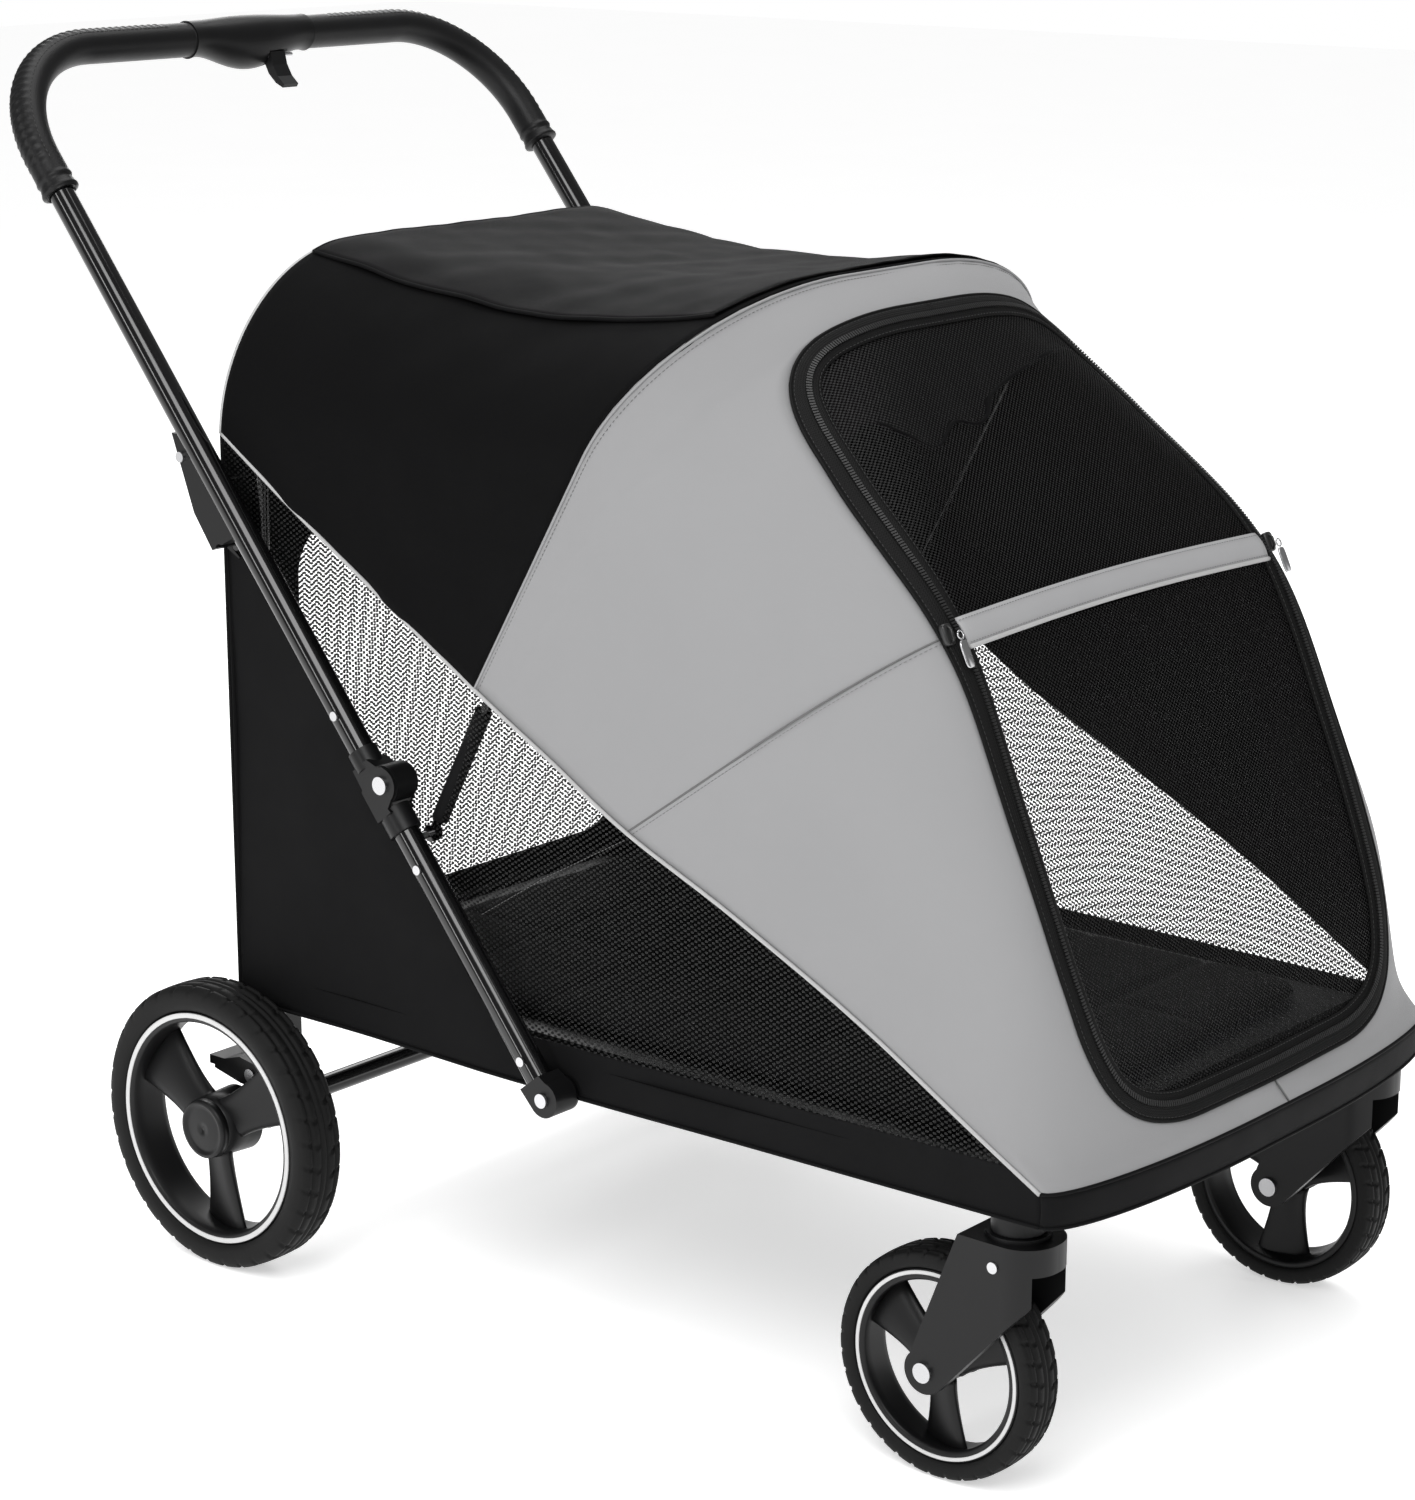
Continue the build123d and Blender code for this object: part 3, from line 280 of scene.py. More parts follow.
def tube_mesh(points, radius, sides=8, closed=False):
    """Verts and faces of a round strand along points; radius may be one number or one a point."""
    points = np.asarray(points, float)
    if closed:
        tangent = np.roll(points, -1, axis=0) - np.roll(points, 1, axis=0)
    else:
        tangent = np.gradient(points, axis=0)
    tangent /= np.linalg.norm(tangent, axis=1)[:, None] + 1e-12
    side = np.cross(tangent[0], [0, 0, 1] if abs(tangent[0][2]) < 0.9 else [1, 0, 0])
    radii = np.broadcast_to(radius, (len(points),))
    verts = []
    for i, (p, t) in enumerate(zip(points, tangent)):
        side = side - t * (side @ t)
        side /= np.linalg.norm(side)
        up = np.cross(t, side)
        for k in range(sides):
            a = 2 * math.pi * k / sides
            verts.append(p + radii[i] * (math.cos(a) * side + math.sin(a) * up))
    if not closed:
        return verts, capped_grid(len(points), sides)
    last = (len(points) - 1) * sides
    joint = [(last + k, last + (k + 1) % sides, (k + 1) % sides, k) for k in range(sides)]
    return verts, grid_faces(len(points), sides, closed=True) + joint


def merged(parts):
    """Several (verts, faces) as one."""
    verts, faces = [], []
    for v, f in parts:
        base = len(verts)
        verts.extend(v)
        faces.extend([tuple(i + base for i in face) for face in f])
    return verts, faces


def strand(name, lines, radius, mat, body, soft=True, step=6.0, slot=None, sides=8, closed=False,
           replaces=()):
    """Piping, hems and seams: one piece of round strands along several lines."""
    parts = [tube_mesh(respaced(line, step, closed), radius, sides, closed) for line in lines]
    return piece(name, *merged(parts), mat, body, slot=slot, soft=soft, replaces=replaces)


def binding(name, lines, radius, closed=False):
    """A strand of black cloth sewn to the cabin."""
    strand(name, lines, radius, BLACK_CLOTH, "base", slot="black_fabric", closed=closed)


def stitches(name, lines, mat, body, pitch=4.2, dash=2.9, radius=0.34, soft=True):
    """A row of separate short threads along each line."""
    parts = []
    for line in lines:
        line = respaced(line, 1.0)
        run = lengths(line)
        for start in np.arange(1.0, run[-1] - dash, pitch):
            at = np.array([start, start + dash / 2, start + dash])
            p = np.stack([np.interp(at, run, line[:, i]) for i in range(3)], axis=1)
            parts.append(tube_mesh(p, np.array([0.45, 1.0, 0.45]) * radius, 5))
    return piece(name, *merged(parts), mat, body, soft=soft)


# ---------------------------------------------------------------- the cabin's form
# Each station is one bent rib of the cloth: it rises from the piping on one side, goes over the middle line
# and down to the piping on the other. Columns: station, foot y, foot z, middle y, middle z, half-width,
# shoulder reach across, shoulder reach up. -1 is the rear arch, 0 the bow, 1 the nose edge.
REAR_RIBS = [
    (-1.00, 299, 729, 285, 878, 286, 140, 146),
    (-0.75, 228, 681, 170, 870, 284, 165, 146),
    (-0.50, 156, 636, 54, 866, 282.5, 195, 144),
    (-0.25, 85, 595, -61, 869, 284, 215, 142),
    (0.00, 14, 555, -176, 878, 286, 230, 140),
]
FRONT_RIBS = [
    (0.00, 14, 555, -176, 878, 286, 230, 140),
    (0.10, -16, 538, -221, 852, 286, 250, 180),
    (0.25, -66, 510, -304, 768, 285, 170, 175),
    (0.45, -145, 464, -407, 650, 283, 82, 160),
    (0.65, -258, 412, -472, 513, 279, 58, 120),
    (0.82, -384, 348, -524, 384, 276, 58, 84),
    (0.93, -474, 294, -558, 290, 273.5, 120, 60),
    (1.00, -534, 259, -579, 264, 272, 235, 44),
]


def through(rows):
    """A smooth reader of a table: value of every column at any station."""
    rows = np.array(rows, float)
    at, values = rows[:, 0], rows[:, 1:]
    slope = np.gradient(values, at, axis=0)

    def read(s):
        s = np.clip(np.asarray(s, float), at[0], at[-1])
        i = np.clip(np.searchsorted(at, s, side="right") - 1, 0, len(at) - 2)
        h = at[i + 1] - at[i]
        t = ((s - at[i]) / h)[..., None]
        h = h[..., None]
        return (
            (2 * t**3 - 3 * t**2 + 1) * values[i]
            + (t**3 - 2 * t**2 + t) * h * slope[i]
            + (3 * t**2 - 2 * t**3) * values[i + 1]
            + (t**3 - t**2) * h * slope[i + 1]
        )

    return read


READ_REAR, READ_FRONT = through(REAR_RIBS), through(FRONT_RIBS)


def rib(s):
    s = np.asarray(s, float)
    return np.where((s < 0)[..., None], READ_REAR(s), READ_FRONT(s))


def rib_sizes(s):
    """foot, middle, half-width, flat, shoulder across, shoulder up, height, total half girth."""
    v = rib(s)
    foot, middle = v[..., 0:2], v[..., 2:4]
    half, rx, ry = v[..., 4], v[..., 5], v[..., 6]
    height = np.linalg.norm(middle - foot, axis=-1)
    ry = np.minimum(ry, height * 0.98)
    flat = half - rx
    round_run = math.pi / 2 * np.sqrt((rx**2 + ry**2) / 2)
    return foot, middle, half, flat, rx, ry, height, flat + round_run + height - ry, round_run


def cloth_point(s, t, out=0.0):
    """Point of the cabin's surface at station s and girth fraction t (-1 and 1 are the feet)."""
    s, t = np.broadcast_arrays(np.asarray(s, float), np.asarray(t, float))
    foot, middle, half, flat, rx, ry, height, girth, round_run = rib_sizes(s)
    d = np.abs(t) * girth
    angle = np.clip((d - flat) / round_run, 0, 1) * math.pi / 2
    x = np.where(d < flat, d, flat + rx * np.sin(angle))
    up = height - ry + ry * np.cos(angle)
    up = np.where(d > flat + round_run, height - ry - (d - flat - round_run), up)
    share = (up / height)[..., None]
    side = foot + (middle - foot) * share
    point = np.stack([x * np.sign(t), side[..., 0], side[..., 1]], axis=-1)
    if np.any(out):
        e = 0.004
        a = cloth_point(np.clip(s + e, -1, 1), t) - cloth_point(np.clip(s - e, -1, 1), t)
        b = cloth_point(s, np.clip(t + e, -1, 1)) - cloth_point(s, np.clip(t - e, -1, 1))
        n = np.cross(a, b)
        n /= np.linalg.norm(n, axis=-1)[..., None] + 1e-9
        n *= np.where((n * (point - np.array([0, 60, 400]))).sum(-1) < 0, -1, 1)[..., None]
        point = point + n * np.asarray(out, float)[..., None]
    return point


RUN_S = np.linspace(0, 1, 401)
RUN_V = lengths(rib(RUN_S)[:, 2:4])


def station_of(v):
    """Station of a distance v down the middle line from the bow."""
    return np.interp(v, RUN_V, RUN_S)


def girth_of(x, s):
    """Girth fraction of the point at lateral distance x on rib s."""
    _, _, _, flat, rx, _, _, girth, round_run = rib_sizes(s)
    a = np.abs(x)
    angle = np.arcsin(np.clip((a - flat) / rx, 0, 1))
    d = np.where(a < flat, a, flat + angle / (math.pi / 2) * round_run)
    return np.sign(x) * d / girth


def front_point(x, v, out=0.0):
    s = station_of(v)
    return cloth_point(s, girth_of(x, s), out)


def grid_piece(name, grid, mat, body, slot, nodes=(), turn=True, thick=0.0, lining=None):
    """A soft sheet on a grid of points; its cloth coordinates are the distances across and along."""
    rows, columns = grid.shape[:2]
    u = np.array([lengths(row) - lengths(row)[-1] / 2 for row in grid])
    v = np.array([lengths(grid[:, j]) for j in range(columns)]).T
    uv = np.stack([u, v], axis=-1).reshape(-1, 2) * MM
    faces = grid_faces(rows, columns)
    return piece(name, grid.reshape(-1, 3), flipped(faces) if turn else faces, mat, body, slot, nodes,
                 soft=True, uv=uv, thick=thick, lining=lining)


def ripple(a, b, scale):
    """Slack in the cloth, a few millimetres deep, as a smooth sum of long waves."""
    return scale * (np.sin(3.1 * a + 1.7 * b + 0.4) + 0.6 * np.sin(6.3 * a - 4.1 * b + 1.9)
                    + 0.4 * np.sin(9.7 * b + 2.3 * a))


# --- rear canopy
def rear_slack(s, t):
    mid = 1 - (2 * s + 1) ** 2
    return -5 * mid * np.cos(t * math.pi / 2) ** 2 + mid * ripple(s * 5, t * 4, 0.9)


s, t = np.meshgrid(np.linspace(-1, 0, 56), np.linspace(-1, 1, 120), indexing="ij")
canopy_rear = grid_piece("canopy_rear_cloth", cloth_point(s, t, rear_slack(s, t)), BLACK_CLOTH, "base",
                         "black_fabric", ["canopy_rear"], turn=False, thick=1.4, lining=LINING)

# --- roof flap, a second layer with a piped edge
FLAP_EDGE = [(-1.0, 0.51), (-0.8, 0.47), (-0.6, 0.425), (-0.4, 0.385), (-0.2, 0.342), (0.0, 0.292)]


def flap_edge(s):
    """Half-girth fraction of the flap's edge at a station."""
    return np.interp(s, *np.array(FLAP_EDGE).T)


s, u = np.meshgrid(np.linspace(-0.995, -0.015, 50), np.linspace(-1, 1, 60), indexing="ij")
t = u * flap_edge(s)
lift = rear_slack(s, t) + 3.0 + 2.2 * np.abs(u) ** 8 * np.sin(np.pi * np.clip(s + 1, 0, 1))
lift = lift + ripple(s * 7, u * 3, 0.5)
flap = cloth_point(s, t, lift)
roof_flap = grid_piece("roof_flap_cloth", flap, BLACK_CLOTH, "base", "black_fabric", turn=False, thick=1.2)
binding("roof_flap_hem", [flap[:, 0], flap[:, -1], flap[0]], 1.7)
stitches("roof_flap_stitch", [cloth_point(s[:, 3], t[:, 3], lift[:, 3] + 0.5),
                              cloth_point(s[:, -4], t[:, -4], lift[:, -4] + 0.5)],
         DARK_THREAD, "base")

# --- zip opening, as (distance across, distance down the middle line)
ZIP_HALF = [(0, 50), (90, 50), (138, 52), (166, 62), (185, 84), (197, 120), (209, 190), (218, 258),
            (224, 326), (227, 420), (227, 520),
            (225, 590), (219, 645), (202, 690), (172, 715), (128, 727), (0, 729)]
RING = 240


def zip_line(inset):
    """The zip's closed line, pulled in by inset, from the top middle round the left side."""
    half = np.array(ZIP_HALF, float)
    whole = np.vstack([half, (half[::-1] * [-1, 1])[1:-1]])
    padded = np.hstack([np.vstack([whole, whole[:1]]), np.zeros((len(whole) + 1, 1))])
    fine = respaced(padded, lengths(padded)[-1] / RING, closed=False)[:-1][:, :2]
    for _ in range(6):
        fine = (np.roll(fine, 1, axis=0) + 2 * fine + np.roll(fine, -1, axis=0)) / 4
    along = tangents(fine, closed=True)
    return fine + np.stack([-along[:, 1], along[:, 0]], axis=1) * inset


# --- gray front, a ring of cloth between the zip and the bow, piping and nose edge
edge = zip_line(0)
edge_s = station_of(edge[:, 1])
edge_t = girth_of(edge[:, 0], edge_s)
CORNERS = [(0.125, 0.0), (0.45, 0.45), (0.93, 1.0)]
side_s = np.interp(edge_s, *np.array(CORNERS).T)
on_side = (edge_s > CORNERS[0][0]) & (edge_s < CORNERS[-1][0])
top_limit = np.abs(edge_t[edge_s <= CORNERS[0][0]]).max()
low_limit = np.abs(edge_t[edge_s >= CORNERS[-1][0]]).max()
outer_s = np.where(on_side, side_s, np.where(edge_s < 0.5, 0.0, 1.0))
outer_t = np.where(on_side, np.sign(edge_t),
                   np.clip(edge_t / np.where(edge_s < 0.5, top_limit, low_limit), -1, 1))
bands = 30
k = np.linspace(0, 1, bands)[:, None]
ring_s = edge_s + (outer_s - edge_s) * k
ring_t = edge_t + (outer_t - edge_t) * k
slack = np.sin(math.pi * k) * ripple(ring_s * 5, ring_t * 3, 0.8) - 2.0 * np.sin(math.pi * k) * (ring_s > 0.1)
points = cloth_point(ring_s, ring_t, slack)
ring_faces = grid_faces(bands, len(edge), closed=True)
flat_uv = np.stack([ring_t * 520, RUN_V[-1] * ring_s], axis=-1).reshape(-1, 2) * MM
canopy_front = piece("canopy_front_cloth", points.reshape(-1, 3), ring_faces, FINISH["gray_fabric"], "base",
                     "gray_fabric", ["canopy_front"], soft=True, uv=flat_uv, thick=1.4, lining=LINING)

# --- zip tape, teeth and its stitching
TAPE_W = 22.0
TAPE_LIFT = 1.6
rows = 7
tape = np.array([front_point(*zip_line(i).T, TAPE_LIFT * math.sin(math.pi * min(1, 0.15 + i / TAPE_W)) + 0.6)
                 for i in np.linspace(-1.0, TAPE_W, rows)])
run = lengths(np.vstack([tape[0], tape[0][:1]]))[:-1]
tape_uv = np.array([[(r * MM, i * TAPE_W / rows * MM) for r in run] for i in range(rows)]).reshape(-1, 2)
zip_tape = piece("zip_tape", tape.reshape(-1, 3), flipped(grid_faces(rows, len(run), closed=True)), TAPE,
                 "base", "black_fabric", ["zip_border"], soft=True, uv=tape_uv, thick=1.5, lining=LINING)


TOOTH_SIZE = (0.8, 2.3, 0.8)


def tooth_row(line, across, pitch, size):
    """Small blocks set side by side along a closed line, long across it."""
    line = respaced(line, pitch, closed=True)
    across = np.asarray(across)
    parts = []
    for p, t in zip(line, tangents(line, closed=True)):
        near = across[np.argmin(((across - p) ** 2).sum(1))]
        a = near - p
        a -= t * (a @ t)
        a /= np.linalg.norm(a) + 1e-9
        n = np.cross(t, a)
        v = [p + sx * size[0] * t + sy * size[1] * a + sz * size[2] * n for sx in (-1, 1) for sy in (-1, 1)
             for sz in (-1, 1)]
        parts.append((v, [(0, 1, 3, 2), (4, 6, 7, 5), (0, 4, 5, 1), (2, 3, 7, 6), (0, 2, 6, 4),
                          (1, 5, 7, 3)]))
    return parts


TOOTH_LINE = TAPE_W * 0.55
teeth = front_point(*zip_line(TOOTH_LINE).T, 2.6)
piece("zip_teeth", *merged(tooth_row(teeth, front_point(*zip_line(TOOTH_LINE + 6).T, 2.6), 2.6, TOOTH_SIZE)),
      TEETH, "base",
      soft=True, smooth=False)
edge_lines = [front_point(*zip_line(i).T, 1.5) for i in (1.4, TAPE_W - 1.6)]
stitches("zip_stitch", [np.vstack([e, e[:1]]) for e in edge_lines], DARK_THREAD, "base")
strand("zip_binding", [front_point(*zip_line(-1.2).T, 0.9)], 1.3, TAPE, "base", closed=True)

# --- windows: chart (x, v) inside the zip, upper and lower, with the crossbar between
BAR_V = float(np.interp(0.452, RUN_S, RUN_V))
BAR_HALF = 12.0


def opening_half(v, inset):
    """Half-width of the zip opening at a distance v down the middle line."""
    line = zip_line(inset)
    side = line[line[:, 0] > 0]
    order = np.argsort(side[:, 1])
    return np.interp(v, side[order, 1], side[order, 0], left=0, right=0)


def window_sheet(name, v_low, v_high, inset, out, mat, body, slot, nodes, rows, columns=70, thick=0.0,
                 billow=0.0):
    line = zip_line(inset)
    v_low = max(v_low, line[:, 1].min() + 0.3)
    v_high = min(v_high, line[:, 1].max() - 0.3)
    v = np.linspace(0, 1, rows)
    v = v_low + (v_high - v_low) * (v - 0.10 * np.sin(2 * math.pi * v) / (2 * math.pi) * 4)
    half = opening_half(v, inset)
    u = np.linspace(-1, 1, columns)
    x = half[:, None] * u[None, :]
    vv = np.repeat(v[:, None], columns, axis=1)
    share = (v - v_low) / (v_high - v_low)
    lift = out + billow * np.sin(math.pi * share)[:, None] * np.cos(u * math.pi / 2)[None, :]
    points = front_point(x, vv, lift).reshape(-1, 3)
    uv = np.stack([x, vv], axis=-1).reshape(-1, 2) * MM
    return piece(name, points, flipped(grid_faces(rows, columns)), mat, body, slot, nodes, soft=True, uv=uv,
                 thick=thick)


upper = window_sheet("window_upper_net", 0, BAR_V - BAR_HALF + 2, TAPE_W - 4, -0.8, NET_FINE, "window_upper",
                     "black_mesh", ["window_upper"], 50, billow=-2.5)
lower = window_sheet("door_lower_net", BAR_V + BAR_HALF - 2, 999, TAPE_W - 4, -0.8, NET_FINE, "door_lower",
                     "black_mesh", ["door_lower"], 60, billow=-3.0)

# --- shade: a dark rolled flap behind the top of the upper window, with an uneven lower edge
u = np.linspace(-1, 1, 90)
shade_low = 150 + 26 * np.exp(-((u + 0.55) / 0.16) ** 2) + 14 * np.exp(-((u + 0.2) / 0.12) ** 2)
shade_low = shade_low - 46 * np.clip(u + 0.1, 0, 1) ** 0.7 - 14 * np.exp(-((u + 0.85) / 0.1) ** 2)
rows = 20
line = zip_line(TAPE_W - 3)
v_top = line[:, 1].min() + 0.5
parts = []
for share in np.linspace(0, 1, rows):
    v = v_top + (shade_low - v_top) * share
    x = opening_half(v, TAPE_W - 3) * u
    parts.append(front_point(x, v, -3.0 - 3.5 * math.sin(math.pi * share)
                             + 0.8 * np.sin(u * 19 + share * 3) * share))
shade = grid_piece("window_shade_cloth", np.array(parts), LINING, "window_upper", "black_fabric", thick=1.0)
strand("window_shade_hem", [parts[-1]], 1.6, LINING, "window_upper")

# --- crossbar band with a piped lower edge
u = np.linspace(-1, 1, 60)
rows = 9
bar_half = opening_half(np.array([BAR_V]), TAPE_W - 6)[0]
parts = []
for share in np.linspace(0, 1, rows):
    v = BAR_V + BAR_HALF * (2 * share - 1)
    parts.append(front_point(bar_half * u, np.full(len(u), v) - 5 * np.cos(u * math.pi / 2),
                             1.8 + 1.8 * math.sin(math.pi * share)))
crossbar = grid_piece("crossbar_cloth", np.array(parts), SATIN, "base", "gray_fabric", ["crossbar_band"],
                      thick=2.2)
strand("crossbar_piping", [parts[-1]], 1.9, PIPED, "base", slot="gray_fabric")
stitches("crossbar_stitch", [parts[1] + [0, -0.8, 0.5], parts[-2] + [0, -0.9, 0.4]], SEAM, "base",
         pitch=3.6, dash=2.4, radius=0.3)

# --- the stay inside the crossbar band, a round rod in the CAD stay's place
low, high = box_mm("crossbar_stay")
middle = (low + high) / 2
stay_slot = next(row["material_slot"] for row in frame["record"]["subparts"]
                 if row["node"] == "crossbar_stay")
stay_line = [(x, middle[1], middle[2]) for x in np.linspace(low[0], high[0], 40)]
strand("crossbar_stay_rod", [stay_line], (high[2] - low[2]) / 2, FINISH[stay_slot], "base", slot=stay_slot,
       sides=16,
       replaces=["crossbar_stay"])

# --- piping and seams
rail = np.linspace(-1, 1, 160)
foot_line = [cloth_point(rail, np.full(160, side), 0) + [side * 0.8, 0, 0] for side in (-1, 1)]
strand("side_piping", foot_line, 1.7, PIPED, "base", slot="gray_fabric")
t = np.linspace(-1, 1, 140)
strand("rear_arch_piping", [cloth_point(np.full(140, -1.0), t, 0) + [0, 1.0, 0.3]], 1.8, PIPED, "base",
       slot="gray_fabric")
strand("bow_seam", [cloth_point(np.full(140, 0.004), t, 0.5)], 1.2, FINISH["gray_fabric"], "base",
       slot="gray_fabric")
stitches("bow_stitch", [cloth_point(np.full(140, 0.014), t, 0.25)], SEAM, "base", radius=0.3)
zip_t = abs(girth_of(np.array([225.0]), np.array([0.45]))[0])
side_seams = [cloth_point(np.full(40, 0.45), np.linspace(side * zip_t, side, 40),
                          -1.6 * np.sin(np.linspace(0, math.pi, 40)) + 0.1) for side in (-1, 1)]
strand("front_side_seam", side_seams, 0.8, SEAM, "base")
stitches("front_side_stitch", [line + [0, -3.2, -2.2] for line in side_seams], SEAM, "base", radius=0.25)
strand("front_middle_seam", [front_point(np.zeros(12), np.linspace(729, RUN_V[-1], 12), 0.2)], 0.8, SEAM,
       "base")

# --- nose band below the gray edge
BOTTOM_Z = box_mm("side_panel_left")[0][2]
t = np.linspace(-1, 1, 120)
top_line = cloth_point(np.full(120, 1.0), t, 0)
rows = 6
parts = []
for share in np.linspace(0, 1, rows):
    row = top_line.copy()
    row[:, 2] = top_line[:, 2] + (BOTTOM_Z + 1 - top_line[:, 2]) * share
    row[:, 1] += 5 * share * np.cos(t * math.pi / 2) + 0.8 * math.sin(math.pi * share) * -1
    parts.append(row)
nose = grid_piece("nose_band_cloth", np.array(parts), BLACK_CLOTH, "base", "black_fabric", ["nose_band"],
                  thick=2.0, lining=LINING)
binding("nose_band_binding", [parts[-1], top_line], 1.5)

# --- side panels: cloth behind the side tube and along the bottom, open net ahead of it
FOOT_S = np.linspace(-1, 1, 400)
FOOT = rib(FOOT_S)[:, [0, 1, 4]][::-1]
SKIRT_Z = 274.0
LEAN = math.radians(51.2)       # slope of the side tubes and of the handle
TUBE_SLOPE = math.tan(LEAN)
NET_LOW, NET_HIGH = (-66.0, BOTTOM_Z), (305.0, BOTTOM_Z + 371.0 * TUBE_SLOPE)


def side_x(y, z):
    """Half-width of the side at a place, drawn in a little between the frame members."""
    half = np.interp(y, FOOT[:, 0], FOOT[:, 2])
    top = np.interp(y, FOOT[:, 0], FOOT[:, 1])
    share = np.clip((top - z) / (top - BOTTOM_Z + 1), 0, 1)
    hollow = 3.0 * np.sin(math.pi * share) * np.clip((top - BOTTOM_Z) / 300, 0, 1)
    return half - hollow + ripple(y / 90, z / 110, 0.5) * np.sin(math.pi * share)


def ahead(y, z):
    """True in front of the line that runs up behind the side tube."""
    (y1, z1), (y2, z2) = NET_LOW, NET_HIGH
    return (y2 - y1) * (z - z1) - (z2 - z1) * (y - y1) > 0


def side_sheets(side, label):
    ys = np.linspace(299, -534, 150)
    top = np.interp(ys, FOOT[:, 0], FOOT[:, 1])
    rows = 60
    bm = bmesh.new()
    grid = []
    for y, z_top in zip(ys, top):
        grid.append([bm.verts.new((0, y, z_top + (BOTTOM_Z - z_top) * k)) for k in np.linspace(0, 1, rows)])
    for a, b in zip(grid, grid[1:]):
        for k in range(rows - 1):
            bm.faces.new((a[k], a[k + 1], b[k + 1], b[k]))
    across = (0, NET_HIGH[1] - NET_LOW[1], NET_LOW[0] - NET_HIGH[0])
    everything = bm.verts[:] + bm.edges[:] + bm.faces[:]
    bmesh.ops.bisect_plane(bm, geom=everything, plane_co=(0, *NET_LOW), plane_no=across, dist=0.01)
    everything = bm.verts[:] + bm.edges[:] + bm.faces[:]
    bmesh.ops.bisect_plane(bm, geom=everything, plane_co=(0, 0, SKIRT_Z), plane_no=(0, 0, 1), dist=0.01)
    groups = {"cloth": [], "net": []}
    for face in bm.faces:
        c = face.calc_center_median()
        groups["net" if ahead(c.y, c.z) and c.z > SKIRT_Z else "cloth"].append(face)
    made = []
    looks = {"cloth": (BLACK_CLOTH, "black_fabric"), "net": (NET_WIDE, "black_mesh")}
    for kind, faces in groups.items():
        used, verts, out = {}, [], []
        for face in faces:
            loop = []
            for v in face.verts:
                key = (round(v.co.y, 4), round(v.co.z, 4))
                if key not in used:
                    used[key] = len(verts)
                    verts.append((side * side_x(v.co.y, v.co.z), v.co.y, v.co.z))
                loop.append(used[key])
            if len(set(loop)) == len(loop):
                out.append(loop if side < 0 else loop[::-1])
        uv = [(v[1] * MM, v[2] * MM) for v in verts]
        mat, slot = looks[kind]
        nodes = ["side_panel_" + label] if kind == "cloth" else []
        made.append(piece(f"side_{kind}_{label}", verts, out, mat, "base", slot, nodes, soft=True, uv=uv,
                          thick=0.0 if kind == "net" else 1.4, lining=None if kind == "net" else LINING))
    bm.free()
    z_edge = np.linspace(NET_LOW[1], 690, 40)
    y_edge = NET_LOW[0] + (z_edge - NET_LOW[1]) / TUBE_SLOPE
    net_edge = [(side * (side_x(y, z) + 0.6), y, z) for y, z in zip(y_edge, z_edge)]
    bottom = [(side * (side_x(y, BOTTOM_Z) + 0.4), y, BOTTOM_Z + 1) for y in np.linspace(299, -534, 80)]
    binding(f"side_net_binding_{label}", [net_edge], 1.5)
    binding(f"side_hem_{label}", [bottom], 1.6)
    seam = [(-144, 458), (-59, 411), (13, 365)]
    stitches(f"side_dart_stitch_{label}", [[(side * (side_x(y, z) + 0.5), y, z) for y, z in seam]], SEAM,
             "base", radius=0.4)
    return made


side_pieces = {label: side_sheets(side, label) for side, label in SIDES}

# --- rear panel: black cloth round a large net window
REAR_HALF = 286.0
TURN_Z = 729.0          # above this height the rear panel leans forward
REAR_FACE = 299.2
REAR_LEAN, LEAN_RISE = 14.0, 149.0


def rear_y(z):
    """The rear panel's outer face at a height."""
    z = np.asarray(z, float)
    hollow = 3.0 * np.sin(math.pi * np.clip((TURN_Z - z) / (TURN_Z - BOTTOM_Z), 0, 1))
    return np.where(z > TURN_Z, REAR_FACE - REAR_LEAN * (z - TURN_Z) / LEAN_RISE, REAR_FACE - hollow)


def rounded_box(x_half, z_low, z_high, radius, steps=8):
    """A closed rounded outline, as (x, z)."""
    line = []
    for cx, cz, start in ((x_half - radius, z_low + radius, -90), (x_half - radius, z_high - radius, 0),
                          (radius - x_half, z_high - radius, 90), (radius - x_half, z_low + radius, 180)):
        for k in range(steps + 1):
            a = math.radians(start + 90 * k / steps)
            line.append((cx + radius * math.cos(a), cz + radius * math.sin(a)))
    return line


REAR_WINDOW = (208.0, 284.0, 640.0, 46.0)
REAR_MIDDLE = np.array([0.0, 480.0])


def by_angle(line, angles):
    """Where rays from the rear panel's middle meet a closed (x, z) line."""
    line = np.asarray(line, float)
    line = np.vstack([line, line[:1]])
    dense = np.vstack([a + (b - a) * k for a, b in zip(line, line[1:])
                       for k in np.linspace(0, 1, 30, endpoint=False)])
    offset = dense - REAR_MIDDLE
    at = np.arctan2(offset[:, 1], offset[:, 0])
    order = np.argsort(at)
    reach = np.interp(angles, at[order], np.linalg.norm(offset, axis=1)[order], period=2 * math.pi)
    return REAR_MIDDLE + reach[:, None] * np.stack([np.cos(angles), np.sin(angles)], axis=1)


